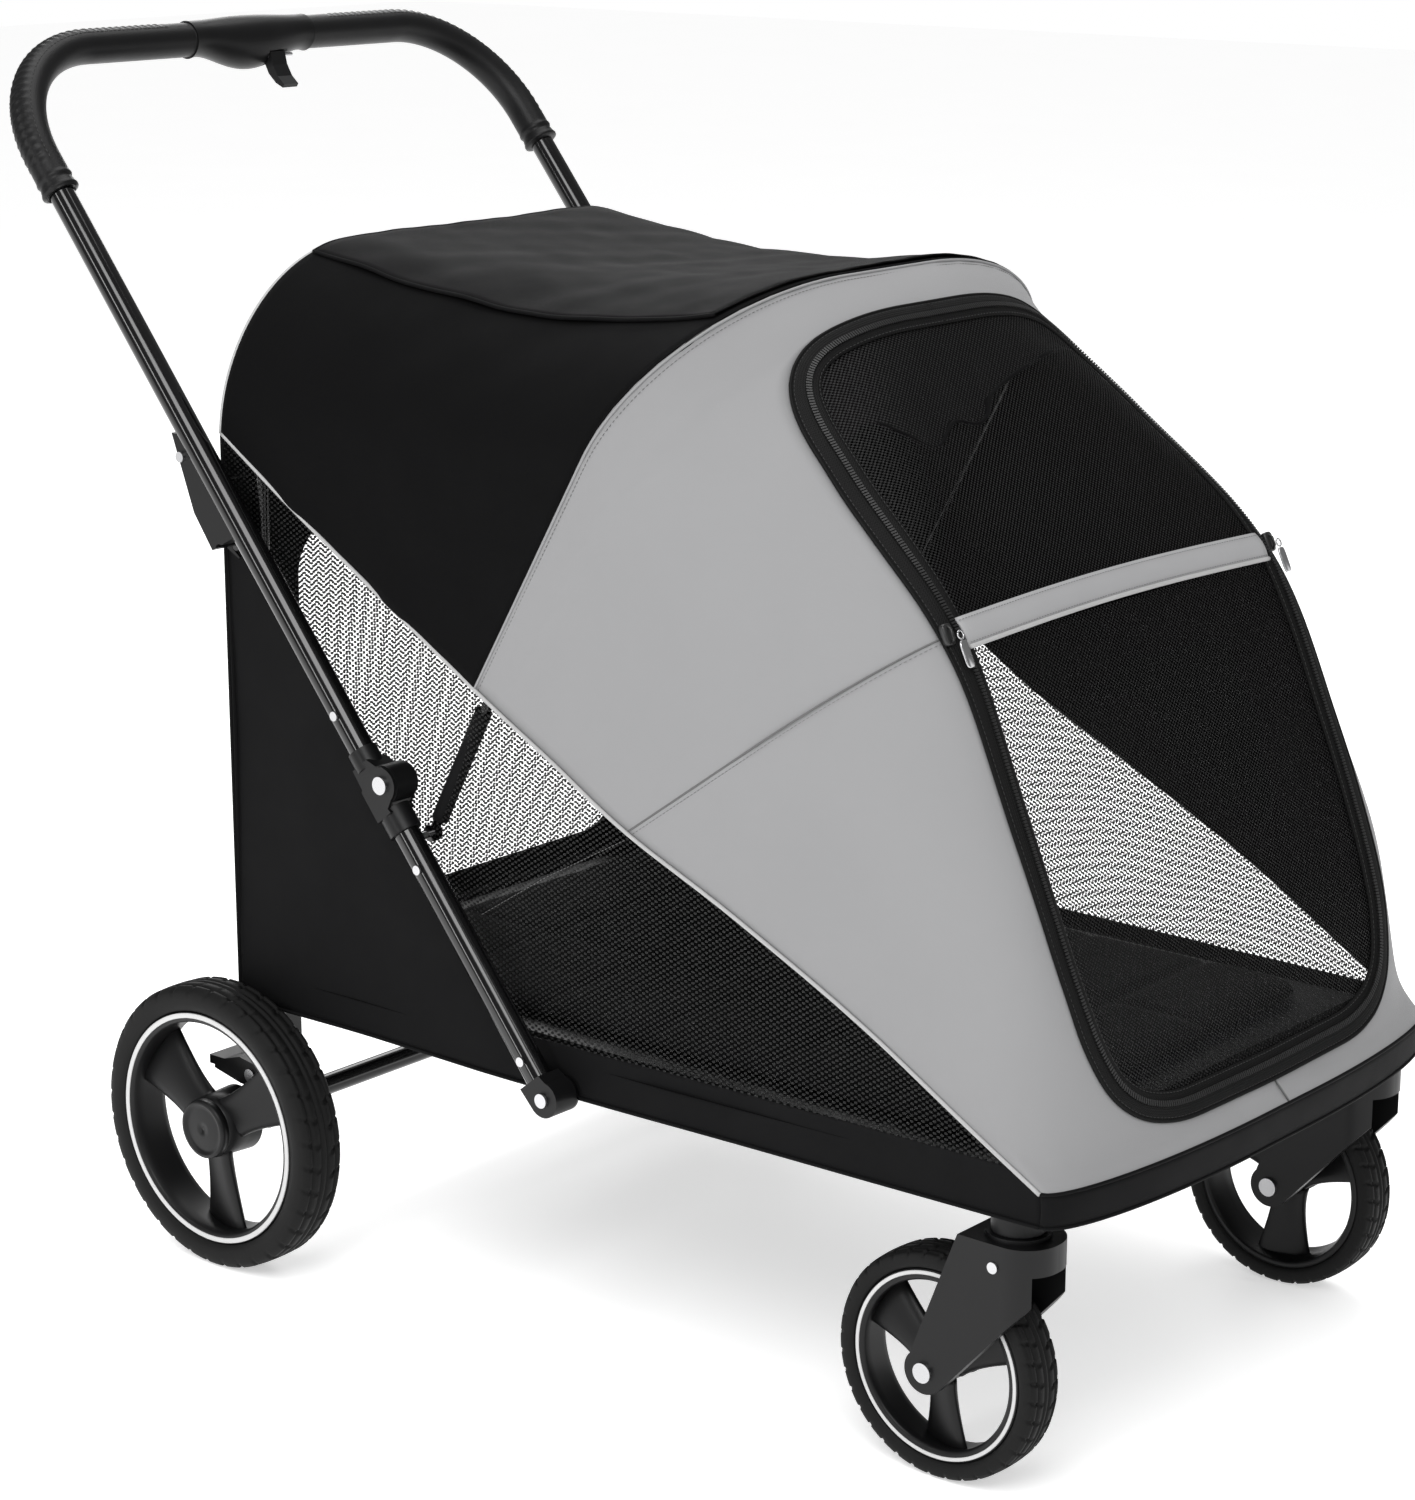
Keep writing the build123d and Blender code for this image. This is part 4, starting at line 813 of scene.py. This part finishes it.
arch = cloth_point(np.full(120, -1.0), np.linspace(1, -1, 120), 0)[:, [0, 2]]
rear_edge = np.vstack([[(REAR_HALF, BOTTOM_Z)], arch, [(-REAR_HALF, BOTTOM_Z)]])
bends = np.arctan2(*(np.array([(REAR_HALF, BOTTOM_Z), (-REAR_HALF, BOTTOM_Z)]) - REAR_MIDDLE).T[::-1])
angles = np.sort(np.concatenate([np.linspace(-math.pi, math.pi, 300, endpoint=False), bends]))
outer_line, inner_line = by_angle(rear_edge, angles), by_angle(rounded_box(*REAR_WINDOW), angles)
bands = 22
flat = np.array([inner_line + (outer_line - inner_line) * k for k in np.linspace(0, 1, bands)])
points = np.stack([flat[..., 0], rear_y(flat[..., 1]), flat[..., 1]], axis=-1)
rear = piece("rear_panel_cloth", points.reshape(-1, 3), flipped(grid_faces(bands, len(angles), closed=True)),
             BLACK_CLOTH, "base", "black_fabric", ["rear_panel"], soft=True, uv=flat.reshape(-1, 2) * MM,
             thick=1.4, lining=LINING)
z_rows = np.linspace(REAR_WINDOW[1] - 2, REAR_WINDOW[2] + 2, 46)
box_line = np.array(rounded_box(REAR_WINDOW[0] + 2, REAR_WINDOW[1] - 2.2, REAR_WINDOW[2] + 2.2,
                                REAR_WINDOW[3]))
right_side = box_line[box_line[:, 0] > 0]
order = np.argsort(right_side[:, 1])
half = np.interp(z_rows, right_side[order, 1], right_side[order, 0])
x_grid = half[:, None] * np.linspace(-1, 1, 60)[None, :]
z_grid = np.repeat(z_rows[:, None], 60, axis=1)
points = np.stack([x_grid, rear_y(z_grid) - 1.8, z_grid], axis=-1).reshape(-1, 3)
rear_net = piece("rear_window_net", points, flipped(grid_faces(46, 60)), NET_WIDE, "base", "black_mesh",
                 soft=True, uv=points[:, [0, 2]] * MM)
for name, grow, radius in (("rear_window_binding", 0, 2.2), ("rear_zip_edge", 19, 1.1)):
    line = rounded_box(REAR_WINDOW[0] + grow, REAR_WINDOW[1] - grow, REAR_WINDOW[2] + grow,
                       REAR_WINDOW[3] + grow)
    line = respaced([(x, rear_y(z) + 0.4, z) for x, z in line], 6, closed=True)
    binding(name, [line], radius, closed=True)
rear_low = np.array([(x, 299.8, BOTTOM_Z + 1) for x in np.linspace(-286, 286, 60)])
binding("rear_hem", [rear_low], 1.6)
binding("rear_corner_seams", [[(side * REAR_HALF, 299.6, TURN_Z), (side * REAR_HALF, 299.6, BOTTOM_Z)]
                             for side in (-1, 1)], 1.5)


tooth_path = rounded_box(REAR_WINDOW[0] + 10, REAR_WINDOW[1] - 10, REAR_WINDOW[2] + 10, REAR_WINDOW[3] + 10)
tooth_path = respaced([(x, float(rear_y(z)) + 1.0, z) for x, z in tooth_path], 3, closed=True)
tooth_side = [(x * 1.08, y, REAR_MIDDLE[1] + (z - REAR_MIDDLE[1]) * 1.08) for x, y, z in tooth_path]
piece("rear_zip_teeth", *merged(tooth_row(tooth_path, tooth_side, 2.8, (0.8, 2.2, 0.8))), TEETH, "base",
      soft=True, smooth=False)
for shift, label in ((6, "inner"), (14.5, "outer")):
    line = rounded_box(REAR_WINDOW[0] + shift, REAR_WINDOW[1] - shift, REAR_WINDOW[2] + shift,
                       REAR_WINDOW[3] + shift)
    line = [(x, float(rear_y(z)) + 0.5, z) for x, z in line]
    stitches("rear_zip_stitch_" + label, [line + line[:1]], DARK_THREAD, "base")
YOKE_Z = 690.0
strand("rear_yoke_seam", [[(x, float(rear_y(YOKE_Z)) + 0.2, YOKE_Z) for x in np.linspace(-284, 284, 60)]],
       0.9, DARK_THREAD, "base")
stitches("rear_yoke_stitch", [[(x, float(rear_y(YOKE_Z + 5)) + 0.4, YOKE_Z + 5)
                               for x in np.linspace(-284, 284, 60)]], DARK_THREAD, "base")

# --- zip sliders and pull tabs
SLIDER_V = float(np.interp(0.45, RUN_S, RUN_V))


def lozenge(centre, across, up, out, half_w, half_l, half_t, round_share=0.35, steps=20):
    """A flat rounded tab: centre and three unit directions."""
    verts = []
    for level, shrink in ((-1, 0.82), (-0.55, 1.0), (0.55, 1.0), (1, 0.82)):
        for k in range(steps):
            a = 2 * math.pi * k / steps
            power = 0.45
            cx = math.copysign(abs(math.cos(a)) ** power, math.cos(a)) * half_w * shrink
            cy = math.copysign(abs(math.sin(a)) ** power, math.sin(a)) * (half_l - half_t * (1 - shrink) * 2)
            verts.append(centre + across * cx + up * cy + out * half_t * level)
    return verts, capped_grid(4, steps)


for side, label in SIDES:
    low, high = box_mm("zip_pull_" + label)
    x = (low[0] + high[0]) / 2
    top = np.array([x, high[1] - 1.2, high[2] - 0.6])
    bottom = np.array([x, low[1] + 1.2, low[2] + 0.6])
    up = (top - bottom) / np.linalg.norm(top - bottom)
    across = np.array([1.0, 0, 0])
    out = np.cross(up, across)
    out = out if out[1] < 0 else -out
    reach = np.linalg.norm(top - bottom)
    ring = [top - up * 3 + 3.2 * math.cos(a) * across + 3.2 * math.sin(a) * up
            for a in np.linspace(0, 2 * math.pi, 20, endpoint=False)]
    parts = [tube_mesh(ring, 0.7, 8, closed=True)]
    parts.append(lozenge(bottom + up * reach * 0.40, across, up, out, 4.6, reach * 0.36, 0.9))
    piece("zip_tab_" + label, *merged(parts), FINISH["bright_steel"], "zip_pull_" + label, "bright_steel",
          ["zip_pull_" + label], soft=True)
    seat = front_point(np.array([side * 221.0]), np.array([SLIDER_V]), 4.0)[0]
    body = lozenge(seat, across, up, out, 5.5, 8.5, 2.6)
    bridge = tube_mesh([seat + up * 6 + out * 2, seat + up * 3 + out * 5, seat - up * 4 + out * 5,
                        seat - up * 7 + out * 2], 1.1, 8)
    piece("zip_slider_" + label, *merged([body, bridge]), TEETH, "base", "bright_steel", soft=True)

# --- floor mat: a thin quilted pad, swelled by cloth simulation
low, high = box_mm("floor_mat")
QUILT_X, QUILT_Y, QUILT_HALF = 80, (-360, -240, -120, 0, 120), 5.0


def swelled_pad(name, low, high, corner_r, voxel, swell, mat):
    """A pad that starts as a slightly smaller rounded slab and is blown up by pressure."""
    inset = 5.0
    x_half = (high[0] - low[0]) / 2 - inset
    y_low, y_high = low[1] + inset, high[1] - inset
    line = rounded_box(x_half, y_low, y_high, corner_r)
    verts = [(x, y, low[2] + 1) for x, y in line] + [(x, y, high[2] - 5) for x, y in line]
    n = len(line)
    faces = [(k, (k + 1) % n, n + (k + 1) % n, n + k) for k in range(n)]
    faces += [tuple(range(n))[::-1], tuple(range(n, 2 * n))]
    mesh = bpy.data.meshes.new(name + "_start")
    mesh.from_pydata([tuple(c * MM for c in v) for v in verts], [], faces)
    obj = bpy.data.objects.new(name, mesh)
    bpy.context.scene.collection.objects.link(obj)
    remesh = obj.modifiers.new("voxels", "REMESH")
    remesh.mode = "VOXEL"
    remesh.voxel_size = voxel * MM
    bpy.context.view_layer.update()
    graph = bpy.context.evaluated_depsgraph_get()
    start = bpy.data.meshes.new_from_object(obj.evaluated_get(graph))
    obj.modifiers.clear()
    obj.data = start
    co = np.array([v.co for v in start.vertices]) / MM
    cloth = obj.modifiers.new("cloth", "CLOTH")
    cloth.settings.use_pressure = True
    cloth.settings.uniform_pressure_force = 4.0
    cloth.settings.effector_weights.gravity = 0.0
    cloth.settings.quality = 4
    for frame_number in range(1, 16):
        bpy.context.scene.frame_set(frame_number)
    graph = bpy.context.evaluated_depsgraph_get()
    blown = obj.evaluated_get(graph).to_mesh()
    moved = np.array([v.co for v in blown.vertices]) / MM
    obj.evaluated_get(graph).to_mesh_clear()
    obj.modifiers.clear()
    bpy.context.scene.frame_set(1)
    shift = moved - co
    far = np.linalg.norm(shift, axis=1)[:, None]
    co = co + shift * np.minimum(1, swell / np.maximum(far, 1e-6))
    channels = [np.abs((co[:, 0] + QUILT_X * k) / QUILT_HALF) for k in (-1, 1)]
    lines_y = [np.abs((co[:, 1] - y) / QUILT_HALF) for y in QUILT_Y]
    press = sum(np.exp(-c**2) for c in channels + lines_y)
    top_face = co[:, 2] > (low[2] + high[2]) / 2
    co[:, 2] -= np.where(top_face, 3.5 * np.minimum(press, 1.2), 0)
    co[:, 2] = np.clip(co[:, 2], low[2] + 0.3, high[2] + 2)
    start.vertices.foreach_set("co", (co * MM).astype(np.float32).ravel())
    start.materials.clear()
    start.materials.append(mat)
    start.polygons.foreach_set("use_smooth", [True] * len(start.polygons))
    start.update()
    soften = obj.modifiers.new("finer", "SUBSURF")
    soften.levels = soften.render_levels = 1
    return obj


floor_mat = swelled_pad("floor_mat_pad", low, high, 30, 7.0, 4.0, FINISH["mat_fabric"])
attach(floor_mat, "base")
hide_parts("floor_mat")

# --- floor cloth under the mat, out to the walls
FLOOR_Z = 260.6
across, deep = np.meshgrid(np.linspace(-1, 1, 40), np.linspace(0, 1, 60))
y_nose = -578 + 50 * across ** 2
y_floor = 295 + (y_nose - 295) * deep
half_floor = np.interp(y_floor, [-578, -531, -186, 300], [260, 268, 283, 283])
points = np.stack([across * half_floor, y_floor, np.full_like(across, FLOOR_Z)], axis=-1).reshape(-1, 3)
floor_cloth = piece("floor_cloth", points, grid_faces(60, 40), LINING, "base", "black_fabric", soft=True,
                    uv=points[:, :2] * MM)

# --- cloth sleeve on each leg of the bow, seen through the side net
for side, label in SIDES:
    sleeve = [(side * 277.5, 62 - 51 * k, 437 + 98 * k) for k in np.linspace(0, 1, 30)]
    strand("bow_sleeve_" + label, [sleeve], 7.2, BLACK_CLOTH, "canopy_bow", slot="black_fabric", soft=False,
           sides=16)

# ---------------------------------------------------------------- handle
TUBE_X, TUBE_R, BEND_R, GRIP_R = 301.0, 11.0, 110.0, 15.4
hub_low, hub_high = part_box("hub_shell_top")
BAR = np.array([0, (hub_low[1] + hub_high[1]) / 2 / MM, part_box("handle_tube")[1][2] / MM - TUBE_R])
UP_LEG = np.array([0, math.cos(LEAN), math.sin(LEAN)])
FACE_OUT = np.array([0, -math.sin(LEAN), math.cos(LEAN)])
HUB_HALF = 72.0
GRIP_DOWN = 145.0
RIDGE_FACE, RIDGE_PITCH = math.radians(200), 7.5


def grip_line(side, step=1.5):
    """Centre line of one grip from its lower end round the bend to the hub, with its tangents."""
    top = np.array([side * TUBE_X, BAR[1], BAR[2]])
    inward = np.array([-side, 0.0, 0.0])
    centre = top - UP_LEG * BEND_R + inward * BEND_R
    line = [top - UP_LEG * d for d in np.arange(GRIP_DOWN, BEND_R, -step)]
    for a in np.arange(0, math.pi / 2, step / BEND_R):
        line.append(centre - inward * BEND_R * math.cos(a) + UP_LEG * BEND_R * math.sin(a))
    line += [top + inward * d for d in np.arange(BEND_R, TUBE_X - HUB_HALF + 1, step)]
    return np.array(line)


def grip(side):
    line = grip_line(side)
    run = lengths(line)
    sides = 56
    verts = []
    for p, t, d in zip(line, tangents(line), run):
        inner = np.cross(FACE_OUT, t) * side
        for k in range(sides):
            a = 2 * math.pi * k / sides
            towards = math.cos(a) * inner + math.sin(a) * FACE_OUT
            radius = GRIP_R
            within = min(1, max(0, (d - 24) / 8)) * min(1, max(0, (run[-1] - 26 - d) / 8))
            facing = max(0.0, math.cos(a - RIDGE_FACE))
            ridge = max(0.0, math.sin(2 * math.pi * (d / RIDGE_PITCH + 0.55 * math.sin(a - RIDGE_FACE))))
            radius += 1.0 * within * min(1, facing * 2.2) * ridge ** 1.5 - 0.5 * within * min(1, facing * 2.2)
            for at, width, rise in ((2.5, 2.5, 1.4), (14, 1.6, 0.9)):
                radius += rise * math.exp(-(((d - at) / width) ** 2))
            radius -= 0.8 * math.exp(-(((d - 10) / 1.2) ** 2))
            radius -= 2.2 * max(0, 1 - d / 1.5)
            verts.append(p + radius * towards)
    faces = grid_faces(len(line), sides, closed=True)
    if side > 0:
        faces = flipped(faces)
    last = (len(line) - 1) * sides
    faces.append(tuple(range(sides)))
    faces.append(tuple(last + k for k in range(sides))[::-1])
    return verts, faces


piece("grip_sleeves", *merged([grip(1), grip(-1)]), FINISH["grip_leather"], "upper_frame", "grip_leather",
      ["grips"])


def grip_thread(side):
    """The stitched seam that runs along the inner side of a grip."""
    line = grip_line(side)
    inner = np.cross(np.broadcast_to(FACE_OUT, line.shape), tangents(line)) * side
    a = math.radians(110)
    return (line + (GRIP_R + 0.1) * (math.cos(a) * inner + math.sin(a) * FACE_OUT))[18:-18]


stitches("grip_thread", [grip_thread(1), grip_thread(-1)], DARK_THREAD, "upper_frame", pitch=5.0, dash=3.4,
         radius=0.45, soft=False)


# ---------------------------------------------------------------- wheels
def turned(profile, steps, centre, shift=None, flip=1):
    """A closed (x, r) profile turned about an axle along X; shift(angle, x, r) changes the radius."""
    verts = []
    for k in range(steps):
        a = 2 * math.pi * k / steps
        for x, r in profile:
            rr = r + (shift(k, x, r) if shift else 0)
            verts.append((centre[0] + flip * x, centre[1] + rr * math.cos(a), centre[2] + rr * math.sin(a)))
    n = len(profile)
    faces = []
    for k in range(steps):
        m = (k + 1) % steps
        for j in range(n):
            i = (j + 1) % n
            faces.append((k * n + j, k * n + i, m * n + i, m * n + j))
    return verts, faces if flip > 0 else flipped(faces)


def tyre_profile(outer, inner, half):
    """Sidewalls that swell a little past the bead, square shoulders and a slightly crowned tread."""
    wall = [(half * 0.80, inner), (half * 0.93, inner + 1.5), (half * 0.99, inner + (outer - inner) * 0.3),
            (half, inner + (outer - inner) * 0.52), (half * 0.97, inner + (outer - inner) * 0.72),
            (half * 0.92, inner + (outer - inner) * 0.84), (half * 0.86, outer - 2.6),
            (half * 0.80, outer - 1.3)]
    tread = [(half * f, outer - 1.3 * f * f - d) for f, d in
             ((0.74, 0), (0.66, 0), (0.62, 1.8), (0.54, 1.8), (0.50, 0), (0.36, 0), (0.22, 0), (0.18, 1.6),
              (0.10, 1.6), (0.06, 0))]
    right = wall + tread
    left = [(-x, r) for x, r in right[::-1]]
    return right + left


def blade(root_r, tip_r, root_w, tip_w, thick, hub_x, rim_x, twist, angle):
    """A broad moulded blade, from the hub out to the barrel, turned a little like a propeller's."""
    stations, around = 14, 20
    verts = []
    for k in range(stations):
        q = k / (stations - 1)
        r = root_r + (tip_r - root_r) * q
        w = root_w + (tip_w - root_w) * q**1.25 + 5 * (1 - q) ** 4
        x0 = hub_x + (rim_x - hub_x) * (q**0.8)
        th = thick * (1.15 - 0.35 * q)
        for j in range(around):
            b = 2 * math.pi * j / around
            c, s = math.cos(b), math.sin(b)
            across = math.copysign(abs(c) ** 0.55, c) * w
            out = math.copysign(abs(s) ** 0.75, s) * th / 2 * (1 - 0.35 * abs(c) ** 3)
            x = x0 + out + across * math.sin(twist)
            y = across * math.cos(twist)
            verts.append((x, y * math.cos(angle) + r * math.sin(angle),
                          -y * math.sin(angle) + r * math.cos(angle)))
    return verts, capped_grid(stations, around)


TREAD_STEPS = 576
GROOVE_PITCH, GROOVE_LONG, GROOVE_DEEP = 16, 3, 1.5


def wheel(prefix, body, centre, flip, outer, inner, width, barrel, hub_r, hub_reach, blade_sizes, replaced,
          ring_r, ring_half=1.5):
    """Tyre, pale ring and one-piece rim, about an axle along X; flip turns the outer face to -X."""
    half = width / 2

    def grooves(k, x, r):
        if r < outer - 4.5 or abs(x) < half * 0.3:
            return 0.0
        lead = k + (6 if x > 0 else 0) + int(abs(x) / half * 8)
        return -GROOVE_DEEP if lead % GROOVE_PITCH < GROOVE_LONG else 0.0

    verts, faces = turned(tyre_profile(outer, inner, half), TREAD_STEPS, centre, grooves, flip)
    piece(prefix + "_tyre_tread", verts, faces, FINISH["tyre"], body, "tyre", [replaced["tyre"]])
    lip = half - 2.0
    section = [(lip - 1.0, inner), (lip, inner - 1.2), (lip, inner - 7.5), (lip - 2.0, inner - 9.5),
               (lip * 0.35, inner - barrel),
               (-lip * 0.6, inner - barrel), (-lip + 2, inner - barrel + 2), (-lip, inner - 5), (-lip, inner)]
    parts = [turned(section, 144, centre, None, flip)]
    root_w, tip_w, thick = blade_sizes
    turns = []
    for k in range(3):
        v, f = blade(hub_r * 0.7, inner - barrel + 3, root_w, tip_w, thick, hub_reach * 0.35, -half * 0.10,
                     math.radians(13), math.radians(180 + 120 * k))
        v = [(centre[0] + flip * x, centre[1] + y, centre[2] + z) for x, y, z in v]
        turns.append((v, f if flip > 0 else flipped(f)))
    hub = [(hub_reach, hub_r * 0.4), (hub_reach, hub_r - 2.5), (hub_reach - 2.5, hub_r),
           (-half + 3, hub_r + 2), (-half + 3, hub_r * 0.4)]
    parts += turns + [turned(hub, 96, centre, None, flip)]
    piece(prefix + "_rim_cast", *merged(parts), FINISH["black_plastic"], body, "black_plastic",
          replaced["rim"])
    low_r, high_r = ring_r - ring_half, ring_r + ring_half
    ring = [(lip + 0.5, high_r), (lip + 0.8, high_r - 0.5), (lip + 0.8, low_r + 0.5), (lip + 0.5, low_r),
            (lip - 0.6, low_r), (lip - 0.6, high_r)]
    piece(prefix + "_pale_ring", *turned(ring, 192, centre, None, flip), PALE_RING, body)


for side, label in SIDES:
    low, high = box_mm("rear_tyre_" + label)
    centre = (low + high) / 2
    outer = (high[2] - low[2]) / 2
    wheel("rear_" + label, "rear_wheel_" + label, centre, side, outer, 104.0, high[0] - low[0], 10.0, 27.0,
          19.0, (15, 33, 13), {"tyre": "rear_tyre_" + label, "rim": ["rear_rim_" + label]}, 100.8, 2.2)
    cap_low, cap_high = box_mm("rear_hub_cap_" + label)
    face = abs(cap_high[0] if side > 0 else cap_low[0]) - abs(centre[0])
    cap = [(face - 1.2, 0.01), (face - 1.2, 8), (face - 2.0, 18), (face - 2.2, 20.5), (face - 0.4, 22),
           (face, 23.5), (face - 0.8, 25.6),
           (face - 3, 26.2), (face - 8, 26.4), (face - 8, 0.01)]
    piece("rear_cap_" + label, *turned(cap, 96, centre, None, side), FINISH["black_plastic"],
          "rear_wheel_" + label, "black_plastic", ["rear_hub_cap_" + label])
    low, high = box_mm("front_tyre_" + label)
    centre = (low + high) / 2
    outer = (high[2] - low[2]) / 2
    wheel("front_" + label, "front_wheel_" + label, centre, side, outer, 77.0, high[0] - low[0], 7.5, 15.0,
          19.0, (11, 25, 11), {"tyre": "front_tyre_" + label, "rim": ["front_rim_" + label]}, 74.0)

# ---------------------------------------------------------------- CAD nodes that stay
ROUNDING = 0.0016
MOULDED = ("caster_fork", "lower_knuckles", "upper_knuckles", "catch_plates", "brake_lever",
           "lower_end_caps", "fold_trigger")
SLOT_OF = {row["node"]: row["material_slot"] for row in frame["record"]["subparts"]}
for name, obj in NODES.items():
    if not obj.hide_render:
        obj.data.materials.clear()
        obj.data.materials.append(FINISH[SLOT_OF[name]])
        if name.startswith(MOULDED):
            rounding = obj.modifiers.new("rounding", "BEVEL")
            rounding.width = ROUNDING
            rounding.segments = 3
            rounding.limit_method = "ANGLE"
            rounding.angle_limit = math.radians(35)

# ---------------------------------------------------------------- soft pieces, listed with sizes and what they hang over; stretched does nothing with them
def stretched(obj, width, length, area, over):
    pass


HOOPS = ["rear_hoop", "canopy_bow"]
stretched(canopy_rear, 1.14, 0.47, 0.39, HOOPS)
stretched(roof_flap, 0.42, 0.46, 0.175, HOOPS)
stretched(canopy_front, 1.12, 0.76, 0.375, ["canopy_bow", "nose_tube"])
stretched(rear, 0.575, 0.65, 0.215, ["rear_hoop"])
stretched(nose, 0.62, 0.036, 0.016, ["nose_tube"])
stretched(upper, 0.43, 0.27, 0.11, ["zip_tape"])
stretched(lower, 0.43, 0.40, 0.16, ["zip_tape"])
stretched(shade, 0.42, 0.13, 0.0235, ["window_upper_net"])
stretched(crossbar, 0.42, 0.026, 0.0105, ["crossbar_stay_rod"])
stretched(zip_tape, 1.95, 0.023, 0.044, ["canopy_front_cloth"])
stretched(rear_net, 0.42, 0.36, 0.147, ["rear_panel_cloth"])
for label in ("left", "right"):
    cloth, net = side_pieces[label]
    stretched(cloth, 0.80, 0.45, 0.111, ["side_piping"])
    stretched(net, 0.70, 0.44, 0.102, ["side_piping"])
stretched(floor_cloth, 0.57, 0.87, 0.465, ["floor_board"])

# ---------------------------------------------------------------- studio
AMBIENT = 0.55
GLOSSY_AMBIENT = 0.22
scene = bpy.context.scene
scene.view_settings.view_transform = "Standard"
scene.view_settings.look = "None"
scene.view_settings.exposure = 0.0

floor_material = bpy.data.materials.new("studio_floor")
floor_material.use_nodes = True
tree = floor_material.node_tree
paint = tree.nodes["Principled BSDF"]
speck = put(tree, "ShaderNodeTexNoise", {"Vector": coordinates(tree, False), "Scale": 3.0}).outputs["Fac"]
tree.links.new(tinted(tree, speck, (0.90, 0.90, 0.90), (0.93, 0.93, 0.93)), paint.inputs["Base Color"])
paint.inputs["Roughness"].default_value = 0.9
paint.inputs["Emission Color"].default_value = (1, 1, 1, 1)
paint.inputs["Emission Strength"].default_value = 0.475
paint.inputs["Specular IOR Level"].default_value = 0.1
floor_mesh = bpy.data.meshes.new("floor")
floor_mesh.from_pydata([(-14, -14, 0), (14, -14, 0), (14, 14, 0), (-14, 14, 0)], [], [(0, 1, 2, 3)])
floor_mesh.materials.append(floor_material)
floor_object = bpy.data.objects.new("floor", floor_mesh)
scene.collection.objects.link(floor_object)

world = bpy.data.worlds.new("studio_world")
scene.world = world
world.use_nodes = True
sky = world.node_tree
ray = put(sky, "ShaderNodeLightPath").outputs
seen = calc(sky, "MULTIPLY_ADD", ray["Is Camera Ray"], 1.0 - AMBIENT, AMBIENT)
strength = calc(sky, "MULTIPLY_ADD", ray["Is Glossy Ray"], GLOSSY_AMBIENT - AMBIENT, seen)
sky.nodes["Background"].inputs["Color"].default_value = (1, 1, 1, 1)
sky.links.new(strength, sky.nodes["Background"].inputs["Strength"])


def area_light(name, shape, power):
    """An area light, still to be sized and turned."""
    data = bpy.data.lights.new(name, "AREA")
    data.shape = shape
    data.energy = power
    light = bpy.data.objects.new(name, data)
    scene.collection.objects.link(light)
    return light


def placed(place, right, up, back):
    """World matrix of a thing at a place, from its three directions."""
    matrix = Matrix((right, up, back)).transposed().to_4x4()
    matrix.translation = Vector(place)
    return matrix


def softbox(name, place, target, size, power):
    """A square light that faces a point."""
    light = area_light(name, "SQUARE", power)
    light.data.size = size
    light.location = place
    light.rotation_mode = "QUATERNION"
    light.rotation_quaternion = (Vector(target) - Vector(place)).to_track_quat("-Z", "Y")


def strip_light(name, place, target, along, size, power):
    """A long light that faces a point, with its long side turned along a direction."""
    light = area_light(name, "RECTANGLE", power)
    light.data.size, light.data.size_y = size
    away = (Vector(place) - Vector(target)).normalized()
    side = (Vector(along) - away * Vector(along).dot(away)).normalized()
    light.matrix_world = placed(place, side, away.cross(side), away)


TUBE_RUN = (0.0, 0.627, 0.779)
strip_light("tube_strip_left", (-3.0, 0.9, 1.4), (0, 0.1, 0.7), TUBE_RUN, (4.5, 0.30), 34)
strip_light("tube_strip_front", (-1.2, -3.4, 2.2), (0, 0.1, 0.7), TUBE_RUN, (3.0, 0.25), 14)
softbox("key_light", (-2.6, -1.6, 3.4), (0, 0, 0.4), 2.2, 90)
softbox("top_light", (0.6, 0.6, 4.0), (0, 0, 0.3), 3.0, 80)
softbox("rear_light", (2.6, 2.8, 2.2), (0, 0.2, 0.5), 2.0, 40)

SENSOR, LENS = 36.0, 87.55
CAMERA_TURN, CAMERA_TILT = math.radians(-50.04), math.radians(14.75)
CAMERA_PLACE = (-2.33366, -1.94529, 1.24867)
camera_data = bpy.data.cameras.new("camera")
camera_data.sensor_fit = "VERTICAL"
camera_data.sensor_height = camera_data.sensor_width = SENSOR
camera_data.lens = LENS
camera = bpy.data.objects.new("camera", camera_data)
scene.collection.objects.link(camera)
turn, tilt = CAMERA_TURN, CAMERA_TILT
back = Vector((math.sin(turn) * math.cos(tilt), -math.cos(turn) * math.cos(tilt), math.sin(tilt)))
right = Vector((math.cos(turn), math.sin(turn), 0))
up = back.cross(right)
camera.matrix_world = placed(CAMERA_PLACE, right, up, back)
camera_data.clip_end = 60
scene.camera = camera
